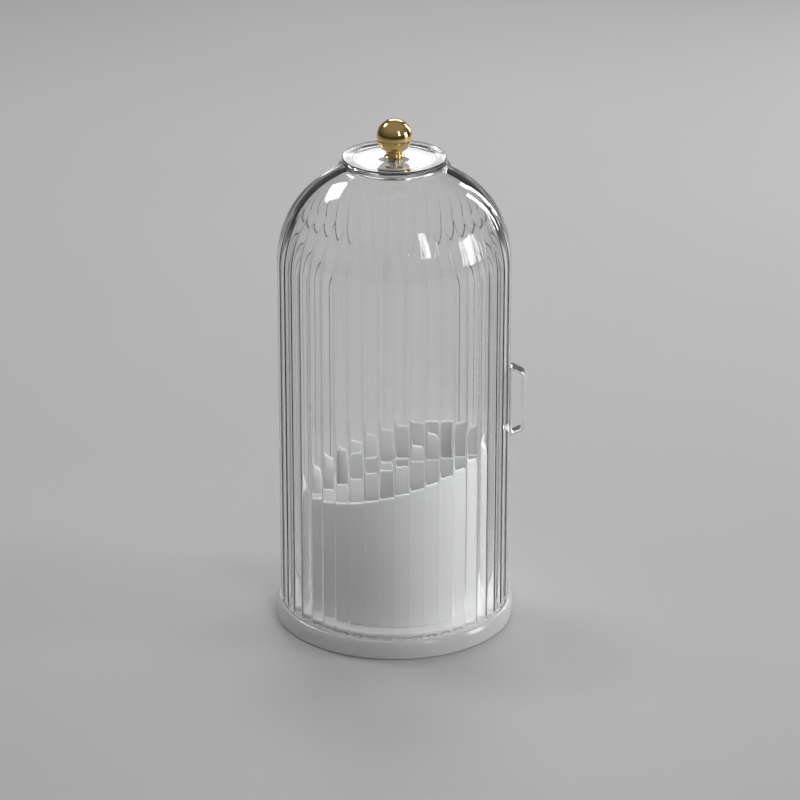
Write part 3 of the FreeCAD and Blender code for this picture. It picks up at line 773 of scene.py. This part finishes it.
@dataclass
class ClearCovers:
    """The fixed rear cover and the turning door of the dome."""

    dome: Dome = field(default_factory=Dome)
    gap: float = 0.7
    groove_floor: float = 7.4
    door_lift: float = 0.3
    neck_top: float = 267.6
    door_start: float = 180.0
    door_ribs: int = 24
    cover_ribs: int = 25

    def build(self, dressing: Dressing) -> list[tuple[bpy.types.Object, str]]:
        """Build both shells.

        Args:
            dressing: The finishes.

        Returns:
            Each piece with a word on it.
        """
        door = self.dome.shell(
            "door_clear_shell", 0.0, self.door_start, self.door_ribs,
            self.groove_floor + self.door_lift, self.neck_top - self.door_lift,
        )
        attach(door, Body.DOOR.value)
        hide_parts("door_shell")
        inset = self.dome.wall + self.gap
        start = self.door_start - (180.0 + self.cover_ribs * self.dome.rib_pitch) / 2
        cover = self.dome.shell(
            "rear_clear_cover", inset, start, self.cover_ribs, self.groove_floor, self.neck_top
        )
        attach(cover, Body.BASE.value)
        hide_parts("rear_cover")
        for piece in (door, cover):
            dressing.dress(piece, Slot.CLEAR)
        return [(door, "turning half of the dome"), (cover, "fixed half of the dome")]


@dataclass
class Handle:
    """The D-shaped pull on the door's last rib."""

    centre_z: float = 129.6
    height: float = 41.6
    reach: float = 8.4
    width: float = 8.0
    bar: float = 2.3
    arm: float = 1.6
    arm_drop: float = 4.2
    pad: float = 0.9
    bend: float = 4.0
    angle: float = 356.25
    wall: float = 64.1
    rib_drop: float = 0.2
    corner: float = 0.5
    squareness: float = 0.28
    section_points: int = 32

    def build(self, dressing: Dressing) -> list[tuple[bpy.types.Object, str]]:
        """Carry a rounded rectangle round the D, as thick as the distance between its two outlines.

        The rectangle's sides go as the cosine and the sine of the turn, each raised to a small
        power. Next to the dome its face falls back by the square of its share of the width, so
        that it follows the rib.

        Args:
            dressing: The finishes.

        Returns:
            The piece with a word on it.
        """
        half, outer = self.height / 2, self.wall + self.reach
        knee, slope = half - self.arm_drop, self.arm_drop / self.reach
        seat, inner = self.wall, outer - self.bar
        at_pad, at_bar = half - self.arm - self.pad * slope, knee - self.arm + self.bar * slope
        tight = self.bend - self.bar
        outside = rounded([
            (seat, -half, self.corner), (outer, -knee, self.bend), (outer, knee, self.bend),
            (seat, half, self.corner),
        ])
        hollow = rounded([
            (seat + self.pad, -at_pad, self.corner), (inner, -at_bar, tight),
            (inner, at_bar, tight), (seat + self.pad, at_pad, self.corner),
        ])
        outside, hollow = self.evened(outside), self.evened(hollow)
        middle, reach = (outside + hollow) / 2, (outside - hollow) / 2
        turn = np.linspace(0, 2 * math.pi, self.section_points + 1)[:-1]
        flat = np.sign(np.cos(turn)) * np.abs(np.cos(turn)) ** self.squareness
        side = np.sign(np.sin(turn)) * np.abs(np.sin(turn)) ** self.squareness * self.width / 2
        x = middle[:, :1] + reach[:, :1] * flat
        z = middle[:, 1:] + reach[:, 1:] * flat + self.centre_z
        y = side[None, :] + 0 * x
        hug = np.clip((self.wall + self.pad - x) / self.pad, 0, 1)
        x = x - hug * self.rib_drop * (y / (self.width / 2)) ** 2
        tilt = math.radians(self.angle)
        across = x * math.cos(tilt) - y * math.sin(tilt)
        along = x * math.sin(tilt) + y * math.cos(tilt)
        points = np.stack([across, along, z], -1)
        faces = grid_faces(len(x), len(turn), True, True)
        piece = mesh_piece("door_handle_pull", points.reshape(-1, 3), faces[:, ::-1])
        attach(piece, Body.DOOR.value)
        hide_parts("door_handle")
        dressing.dress(piece, Slot.CLEAR)
        return [(piece, "D-shaped pull")]

    @staticmethod
    def evened(loop: Array, count: int = 96) -> Array:
        """Sample a closed outline at even steps of its angle, so that two outlines match.

        Args:
            loop: The outline's points.
            count: How many points to take.

        Returns:
            The points, by their angle about the outline's middle as drawn in its own box.
        """
        centre = (loop.max(0) + loop.min(0)) / 2
        ray = loop - centre
        ray = ray / (np.ptp(loop, axis=0) / 2)
        angle = np.unwrap(np.arctan2(ray[:, 1], ray[:, 0]))
        order = np.argsort(angle % (2 * math.pi))
        at = np.linspace(0, 2 * math.pi, count, endpoint=False)
        known = (angle % (2 * math.pi))[order]
        x = np.interp(at, known, loop[order, 0], period=2 * math.pi)
        z = np.interp(at, known, loop[order, 1], period=2 * math.pi)
        return np.stack([x, z], -1)


# The base


@dataclass
class Base:
    """The moulded base with its rolled rim, grooves and ball pan, and the nodes kept as in CAD."""

    radius: float = 66.4
    rim_top: float = 10.4
    lift: float = 0.3
    deck_top: float = 9.5
    deck_under: float = 7.7
    groove_floor: float = 7.4
    groove_under: float = 5.6
    groove_inner: float = 56.7
    cover_groove: tuple[float, float] = (58.5, 60.65)
    door_groove: tuple[float, float] = (61.4, 63.95)
    divide_top: float = 10.1
    rim_slope: tuple[float, float] = (65.1, 7.8)
    skirt: float = 64.2
    foot: tuple[float, float] = (66.0, 0.7)
    pan: tuple[float, float] = (45.0, 46.8)
    pan_floor: float = 5.6
    pan_under: float = 4.2
    hub: tuple[float, float, float] = (7.2, 9.6, 11.0)
    hub_top: float = 8.6
    hub_under: float = 6.2
    columns: int = 256
    kept: tuple[tuple[str, Slot], ...] = (
        ("bottom_plate", Slot.MATTE),
        ("anti_slip_pad", Slot.SILICONE),
        ("plate_screws", Slot.STEEL),
        ("lower_race", Slot.ACETAL),
        ("hub_bush", Slot.ACETAL),
        ("upper_race", Slot.ACETAL),
        ("ball_cage", Slot.ACETAL),
        ("steel_balls", Slot.STEEL),
        ("cup_screws", Slot.STEEL),
        ("pivot_washer", Slot.STEEL),
        ("pivot_screw", Slot.STEEL),
        ("knob_washer", Slot.STEEL),
    )

    def profile(self) -> Array:
        """The base's section, every lip and groove with its small round.

        Returns:
            The rounded profile.
        """
        bore, hub_root, hub_side = self.hub
        pan_side, pan_back = self.pan
        cover_in, cover_out = self.cover_groove
        door_in, door_out = self.door_groove
        slope_in, slope_low = self.rim_slope
        foot_in, foot_high = self.foot
        return rounded([
            (bore, self.hub_top, 0.2), (hub_side, self.hub_top, 0.3),
            (hub_side, self.pan_floor, 0.3), (pan_side, self.pan_floor, 0.5),
            (pan_side, self.deck_top, 0.4), (cover_in, self.deck_top, 0.25),
            (cover_in, self.groove_floor, 0.2), (cover_out, self.groove_floor, 0.2),
            (cover_out, self.divide_top, 0.25), (door_in, self.divide_top, 0.25),
            (door_in, self.groove_floor, 0.2), (door_out, self.groove_floor, 0.2),
            (door_out, self.rim_top, 0.25), (slope_in, self.rim_top, 1.4),
            (self.radius, slope_low, 2.4), (self.radius, foot_high, 0.4),
            (foot_in, self.lift, 0.2), (self.skirt, self.lift, 0.2),
            (self.skirt, self.groove_under, 0.3), (self.groove_inner, self.groove_under, 0.3),
            (self.groove_inner, self.deck_under, 0.3), (pan_back, self.deck_under, 0.3),
            (pan_back, self.pan_under, 0.3), (hub_root, self.pan_under, 0.3),
            (hub_root, self.hub_under, 0.2), (bore, self.hub_under, 0.2),
        ])

    def build(self, dressing: Dressing) -> list[tuple[bpy.types.Object, str]]:
        """Turn the base and dress the pieces that keep their CAD shape.

        Args:
            dressing: The finishes.

        Returns:
            Each piece with a word on it.
        """
        body = revolved("base_moulding", self.profile(), self.columns)
        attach(body, Body.BASE.value)
        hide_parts("base_shell")
        dressing.dress(body, Slot.WHITE)
        made = [(body, "rolled rim, two grooves and ball pan")]
        for node, slot in self.kept:
            dressing.dress(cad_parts[node], slot)
            made.append((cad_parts[node], "kept CAD shape"))
        return made


# The carousel


@dataclass
class Carousel:
    """The turntable, the cup with its slanted rim, and the divider."""

    table_bottom: float = 10.0
    table_top: float = 12.0
    table_radius: float = 57.6
    spigot: float = 5.8
    spigot_foot: float = 5.9
    cup_radius: float = 50.0
    cup_wall: float = 2.2
    floor_bottom: float = 15.6
    floor_top: float = 17.6
    rim_middle: float = 91.0
    rim_rise: float = 13.7
    lip: float = 1.05
    divider_wall: float = 1.6
    divider_hub: float = 8.0
    divider_gap: float = 0.3
    divider_drop: float = 2.0
    divider_start: float = 54.0
    compartments: int = 5
    slant_margin: float = 2.0
    hub_columns: int = 96
    columns: int = 256
    wall_rows: int = 24
    wall_root: float = 0.6
    wall_end: float = 0.5
    wall_tip: float = 0.15
    tip_shares: tuple[float, float] = (0.86, 0.5)

    def slanted(self, points: Array, bottom: float, top: float) -> Array:
        """Stretch heights so that a level top follows the rim's plane.

        A point's height above the bottom is scaled by the local rim height over the level one.

        Args:
            points: N by 3 points drawn with a level top.
            bottom: Height that stays.
            top: Height of the level top.

        Returns:
            The stretched points.
        """
        rise = self.rim_rise * points[:, 0] / self.cup_radius
        share = np.clip((points[:, 2] - bottom) / (top - bottom), 0, None)
        return np.stack([points[:, 0], points[:, 1], points[:, 2] + share * rise], -1)

    def cup(self) -> bpy.types.Object:
        """Turn the cup's section, then slant its rim.

        Returns:
            The cup.
        """
        inner = self.cup_radius - self.cup_wall
        outline = rounded([
            (0.0, self.floor_bottom, 0.0), (inner, self.floor_bottom, 0.4),
            (inner, self.table_top, 0.3), (self.cup_radius, self.table_top, 0.4),
            (self.cup_radius, self.rim_middle, self.lip), (inner, self.rim_middle, self.lip),
            (inner, self.floor_top, 1.2), (0.0, self.floor_top, 0.0),
        ], closed=False)
        points = spun(outline, self.columns)
        points = self.slanted(points, self.floor_top + self.slant_margin, self.rim_middle)
        faces = grid_faces(len(outline), self.columns, False, True)
        return mesh_piece("brush_cup_body", points, faces)

    def divider(self) -> bpy.types.Object:
        """Build the hub tube and the walls, each wall a rounded slab carried out from the hub.

        A wall's section is a rounded rectangle of its thickness by its height, carried along the
        radius, its height then stretched to the rim's plane.

        Returns:
            The divider as one piece.
        """
        bottom = self.floor_top + self.divider_gap
        top = self.rim_middle - self.divider_drop
        inner = self.divider_hub - self.divider_wall
        hub = rounded([
            (inner, bottom, 0.3), (self.divider_hub, bottom, 0.3), (self.divider_hub, top, 0.6),
            (inner, top, 0.6),
        ])
        points = [spun(hub, self.hub_columns)]
        faces = [grid_faces(len(hub), self.hub_columns, True, True)]
        half = self.divider_wall / 2
        section = rounded([
            (-half, bottom, 0.3), (half, bottom, 0.3), (half, top, 0.7), (-half, top, 0.7),
        ])
        outer = self.cup_radius - self.cup_wall - self.divider_gap
        root = inner + self.wall_root
        along = np.linspace(root, outer - self.wall_end, self.wall_rows)
        reach = np.concatenate([[root], along, [outer - self.wall_tip, outer, outer]])
        shrink = np.concatenate([[0.0], np.ones(self.wall_rows), [*self.tip_shares, 0.0]])
        middle = section.mean(0)
        thin = section[None, :, 0] * shrink[:, None]
        tall = middle[1] + (section[None, :, 1] - middle[1]) * np.where(shrink > 0, 1, 0)[:, None]
        for number in range(self.compartments):
            turn = math.radians(self.divider_start + number * 360.0 / self.compartments)
            x = reach[:, None] * math.cos(turn) - thin * math.sin(turn)
            y = reach[:, None] * math.sin(turn) + thin * math.cos(turn)
            wall = np.stack([x, y, tall], -1).reshape(-1, 3)
            first = sum(len(p) for p in points)
            faces.append(grid_faces(len(reach), len(section), False, True, first))
            points.append(wall)
        every = self.slanted(np.concatenate(points), bottom, top)
        return mesh_piece("cup_divider_walls", every, np.concatenate(faces))

    def turntable(self) -> bpy.types.Object:
        """Turn the plate under the cup with its spigot.

        Returns:
            The turntable.
        """
        outline = rounded([
            (0.0, self.spigot_foot, 0.0), (self.spigot, self.spigot_foot, 0.3),
            (self.spigot, self.table_bottom, 0.2),
            (self.table_radius, self.table_bottom, 0.3), (self.table_radius, self.table_top, 0.7),
            (0.0, self.table_top, 0.0),
        ], closed=False)
        return revolved("turntable_plate", outline, self.columns, closed=False)

    def build(self, dressing: Dressing) -> list[tuple[bpy.types.Object, str]]:
        """Build the three pieces.

        Args:
            dressing: The finishes.

        Returns:
            Each piece with a word on it.
        """
        made = [
            (self.cup(), "brush_cup", "cup with slanted rim"),
            (self.divider(), "divider_insert", "five walls and a hub"),
            (self.turntable(), "turntable", "plate on the ball ring"),
        ]
        for piece, node, _ in made:
            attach(piece, Body.CAROUSEL.value)
            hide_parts(node)
            dressing.dress(piece, Slot.WHITE)
        return [(piece, word) for piece, _, word in made]


# The lid


@dataclass
class Lid:
    """The clear lid with its gold knob and the screw that holds it."""

    neck_top: float = 267.6
    thickness: float = 1.9
    radius: float = 28.3
    ring_radius: float = 22.5
    ring_wall: float = 1.9
    ring_depth: float = 4.0
    boss_radius: float = 5.0
    boss_depth: float = 6.6
    bore: float = 1.7
    ball_radius: float = 9.6
    ball_z: float = 280.7
    collar_foot: float = 5.6
    collar_waist: float = 4.4
    collar_top: float = 5.0
    screw_radius: float = 1.5
    head_radius: float = 4.0
    head_height: float = 2.4
    washer: float = 0.8
    thread_pitch: float = 0.6
    thread_depth: float = 0.22
    screw_hole: float = 3.0
    screw_crease: float = 35.0
    recess_half: float = 0.55
    recess_reach: float = 2.1
    recess_depth: float = 1.1
    recess_edges: tuple[float, float] = (0.2, 0.5)
    flat_share: float = 0.62
    bowl_share: float = 0.75
    screw_reach: float = 2.9
    plain_shank: float = 0.3
    flare_ends: tuple[float, float] = (0.5, 0.6)
    dish_edge: float = 0.2
    dish_gap: float = 0.02
    collar_rows: int = 24
    dish_rows: int = 12
    ball_rows: int = 96
    disc_columns: int = 224
    collar_columns: int = 128
    ball_columns: int = 160

    def disc(self) -> bpy.types.Object:
        """Turn the clear disc with its ring and boss.

        Returns:
            The disc.
        """
        low, high = self.neck_top, self.neck_top + self.thickness
        foot, inner = low - self.ring_depth, self.ring_radius - self.ring_wall
        boss = low - self.boss_depth
        outline = rounded([
            (self.bore, boss, 0.15), (self.boss_radius, boss, 0.4),
            (self.boss_radius, low, 0.5), (inner, low, 0.5), (inner, foot, 0.5),
            (self.ring_radius, foot, 0.5), (self.ring_radius, low, 0.4), (self.radius, low, 0.25),
            (self.radius, high, 0.55), (self.bore, high, 0.15),
        ])
        return revolved("lid_clear_disc", outline, self.disc_columns)

    def collar(self) -> bpy.types.Object:
        """Turn the flared collar, its waist hollow and its top dished for the ball.

        Its flank is the waist's radius plus two flares, each the square of how far the height is
        into that flare.

        Returns:
            The collar.
        """
        low = self.neck_top + self.thickness
        seat = self.ball_z - math.sqrt(self.ball_radius ** 2 - self.collar_top ** 2)
        share = np.linspace(0, 1, self.collar_rows)
        foot_end, top_start = self.flare_ends
        foot_flare = np.maximum(1 - share / foot_end, 0) ** 2
        top_flare = np.maximum((share - top_start) / (1 - top_start), 0) ** 2
        flank = self.collar_waist + (self.collar_foot - self.collar_waist) * foot_flare
        flank = flank + (self.collar_top - self.collar_waist) * top_flare
        side = np.stack([flank, low + (seat - low) * share], -1)
        reach = np.linspace(self.collar_top - self.dish_edge, self.bore, self.dish_rows)
        drop = np.sqrt((self.ball_radius + self.dish_gap) ** 2 - reach ** 2)
        dish = np.stack([reach, self.ball_z - drop], -1)
        foot = np.array([
            [self.bore, low], [self.collar_foot - 0.25, low], [self.collar_foot - 0.05, low + 0.06],
        ])
        section = np.concatenate([foot, side[1:], dish])
        return revolved("knob_gold_collar", section, self.collar_columns)

    def ball(self) -> bpy.types.Object:
        """Turn the ball as a half circle, with the small hole for its screw at the bottom.

        Returns:
            The ball.
        """
        start = -math.pi / 2 + math.asin(self.bore / self.ball_radius)
        angle = np.linspace(start, math.pi / 2, self.ball_rows)
        radius = self.ball_radius * np.cos(angle)
        height = self.ball_z + self.ball_radius * np.sin(angle)
        skin = np.stack([radius, height], -1)
        skin[-1, 0] = 0.0
        end = skin[0, 1] + self.screw_hole
        hole = np.array([[0.0, end], [self.bore, end]])
        section = np.concatenate([hole, skin])
        return revolved("knob_gold_ball", section, self.ball_columns, closed=False)

    def screw(self) -> bpy.types.Object:
        """Build the pan-head screw with its cross recess and thread.

        The head's bowl is a quarter ellipse. The thread is cut by a triangle wave, taken off the
        shank's radius, whose phase is the height over the pitch less the share of the turn. The
        recess is a cross whose arms sink into the head's face.

        Returns:
            The screw.
        """
        seat = self.neck_top - self.boss_depth - self.washer
        columns, face_rows, bowl_rows, shank_rows = 96, 26, 20, 150
        bowl = np.linspace(0, math.pi / 2, bowl_rows)
        flat, bowl_height = self.flat_share, self.bowl_share * self.head_height
        spread = [np.linspace(0, flat, face_rows), flat + (1 - flat) * np.sin(bowl[1:])]
        rise = [np.zeros(face_rows), bowl_height * (1 - np.cos(bowl[1:]))]
        head_r = self.head_radius * np.concatenate(spread)
        head_z = seat - self.head_height + np.concatenate(rise)
        tip = self.ball_z - self.ball_radius + self.screw_reach
        shank_z = np.linspace(seat + 0.05, tip, shank_rows)
        shank_r = np.full(len(shank_z), self.screw_radius)
        radius = np.concatenate([head_r, [self.head_radius, self.screw_radius], shank_r, [0.0]])
        height = np.concatenate([head_z, [seat, seat], shank_z, [tip]])
        turn = np.arange(columns) * 2 * math.pi / columns
        r, z, t = radius[:, None], height[:, None], turn[None, :]
        thread = np.abs(((z - seat) / self.thread_pitch - t / (2 * math.pi)) % 1 - 0.5) * 2
        on_shank = (z > seat + self.plain_shank) & (r > 1.0) & (r <= self.screw_radius)
        r = np.where(on_shank, r - self.thread_depth * thread, r + 0 * t)
        x, y = r * np.cos(t), r * np.sin(t)
        arm = np.minimum(np.abs(x), np.abs(y))
        long = np.maximum(np.abs(x), np.abs(y))
        side_edge, end_edge = self.recess_edges
        across = np.clip((self.recess_half - arm) / side_edge, 0, 1)
        sink = across * np.clip((self.recess_reach - long) / end_edge, 0, 1)
        z = z + np.where(z < seat - self.head_height + 0.3, self.recess_depth * sink, 0)
        points = np.stack([x, y, z], -1).reshape(-1, 3)
        faces = grid_faces(len(radius), columns, False, True)
        return mesh_piece("knob_fixing_screw", points, faces, self.screw_crease)

    def build(self, dressing: Dressing) -> list[tuple[bpy.types.Object, str]]:
        """Build the lid's pieces.

        Args:
            dressing: The finishes.

        Returns:
            Each piece with a word on it.
        """
        made = [
            (self.disc(), "lid_disc", Slot.CLEAR, "clear lid"),
            (self.collar(), "knob_collar", Slot.GOLD, "flared collar"),
            (self.ball(), "knob_ball", Slot.GOLD, "polished ball"),
            (self.screw(), "knob_screw", Slot.STEEL, "screw under the lid"),
        ]
        for piece, node, slot, _ in made:
            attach(piece, Body.LID.value)
            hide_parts(node)
            dressing.dress(piece, slot)
        return [(piece, word) for piece, _, _, word in made]


# The studio


@dataclass
class Softbox:
    """A rectangular lamp that faces a point of the object."""

    name: str
    place: tuple[float, float, float]
    aim: tuple[float, float, float]
    size: tuple[float, float]
    power: float

    def build(self) -> None:
        """Make the lamp."""
        lamp = bpy.data.lights.new(self.name, "AREA")
        lamp.shape = "RECTANGLE"
        lamp.size, lamp.size_y = self.size
        lamp.energy = self.power
        holder = bpy.data.objects.new(self.name, lamp)
        bpy.context.scene.collection.objects.link(holder)
        holder.location = self.place
        way = Vector(self.aim) - Vector(self.place)
        holder.rotation_euler = way.to_track_quat("-Z", "Y").to_euler()


@dataclass
class Studio:
    """The camera, the pale floor that curves up behind, the lamps and the world."""

    camera_place: tuple[float, float, float] = (0.0, -1.9030, 0.9121)
    camera_pitch: float = 22.41
    lens: float = 167.49
    shift: float = 0.00696
    sensor: float = 36.0
    floor_colour: tuple[float, float, float] = (0.66, 0.655, 0.65)
    floor_roughness: float = 0.55
    floor_grain: float = 3.0
    floor_half: float = 4.0
    bend_start: float = 2.0
    bend: float = 0.7
    backdrop_top: float = 3.5
    side_light: tuple[float, float, float] = (0.035, 0.035, 0.037)
    overhead_light: tuple[float, float, float] = (0.33, 0.33, 0.34)
    overhead_from: float = 0.8
    room_strength: float = 0.8
    softboxes: tuple[Softbox, ...] = (
        Softbox("key_right", (1.76, -0.20, 0.55), (0.0, 0.0, 0.12), (0.5, 0.7), 7.9),
        Softbox("window_right", (0.80, -1.15, 1.10), (0.02, -0.05, 0.24), (0.17, 0.75), 3.2),
        Softbox("back_left", (-0.85, 0.70, 1.16), (0.0, 0.0, 0.26), (0.42, 0.30), 4.0),
        Softbox("back_right", (0.84, 1.12, 0.58), (0.0, 0.0, 0.25), (0.045, 0.75), 2.0),
        Softbox("far_right", (1.04, 0.93, 0.58), (0.0, 0.0, 0.25), (0.045, 0.75), 2.0),
        Softbox("back_top", (0.1, 1.35, 0.95), (0.0, 0.0, 0.2), (0.9, 0.5), 4.6),
    )

    def build(self) -> None:
        """Set up the camera, floor, lamps and world."""
        camera = bpy.data.cameras.new("photo_camera")
        camera.sensor_width = self.sensor
        camera.lens = self.lens
        camera.shift_x = self.shift
        holder = bpy.data.objects.new("photo_camera", camera)
        bpy.context.scene.collection.objects.link(holder)
        holder.location = self.camera_place
        holder.rotation_euler = Euler((math.radians(90.0 - self.camera_pitch), 0.0, 0.0))
        bpy.context.scene.camera = holder
        bpy.context.scene.view_settings.view_transform = "Standard"
        for softbox in self.softboxes:
            softbox.build()
        self.floor()
        self.world()

    def floor(self) -> None:
        """Make the floor: level, then a quarter circle up into a backdrop."""
        turn = np.linspace(0, math.pi / 2, 24)
        start, bend = self.bend_start, self.bend
        level = [-self.floor_half, -1.0, 0.0, 1.2]
        along = np.concatenate([level, start + bend * np.sin(turn), [start + bend]])
        rise = bend * (1 - np.cos(turn))
        height = np.concatenate([np.zeros(len(level)), rise, [self.backdrop_top]])
        across = np.linspace(-self.floor_half, self.floor_half, 9)
        x = across[None, :] + 0 * along[:, None]
        y = along[:, None] + 0 * x
        z = height[:, None] + 0 * x
        points = np.stack([x, y, z], -1).reshape(-1, 3) / MM
        faces = grid_faces(len(along), len(across), False, False)
        floor = mesh_piece("studio_floor", points, faces)
        nodes = Nodes("pale_floor")
        shader = nodes.add("ShaderNodeBsdfPrincipled")
        low = tuple(0.97 * c for c in self.floor_colour)
        colour = nodes.tint(nodes.noise(self.floor_grain), low, self.floor_colour)
        nodes.link(colour, shader.inputs["Base Color"])
        shader.inputs["Roughness"].default_value = self.floor_roughness
        nodes.link(shader.outputs["BSDF"], nodes.output.inputs["Surface"])
        floor.data.materials.append(nodes.material)

    def world(self) -> None:
        """Make the room's light: bright overhead, dim at the sides, by the direction's height."""
        world = bpy.data.worlds.new("studio_room")
        world.use_nodes = True
        tree = world.node_tree
        place = tree.nodes.new("ShaderNodeTexCoord")
        parts = tree.nodes.new("ShaderNodeSeparateXYZ")
        ramp = tree.nodes.new("ShaderNodeValToRGB")
        ramp.color_ramp.elements[0].position = 0.0
        ramp.color_ramp.elements[0].color = (*self.side_light, 1.0)
        ramp.color_ramp.elements[1].position = self.overhead_from
        ramp.color_ramp.elements[1].color = (*self.overhead_light, 1.0)
        tree.links.new(place.outputs["Generated"], parts.inputs["Vector"])
        tree.links.new(parts.outputs["Z"], ramp.inputs["Fac"])
        background = tree.nodes["Background"]
        tree.links.new(ramp.outputs["Color"], background.inputs["Color"])
        background.inputs["Strength"].default_value = self.room_strength
        bpy.context.scene.world = world


def main() -> None:
    """Build the studio and the holder, and report each piece."""
    Studio().build()
    dressing = Dressing()
    for group in (Base(), Carousel(), ClearCovers(), Handle(), Lid()):
        for piece, word in group.build(dressing):
            LOG.info("%s: %s, %d faces", piece.name, word, len(piece.data.polygons))


if __name__ == "__main__":
    main()
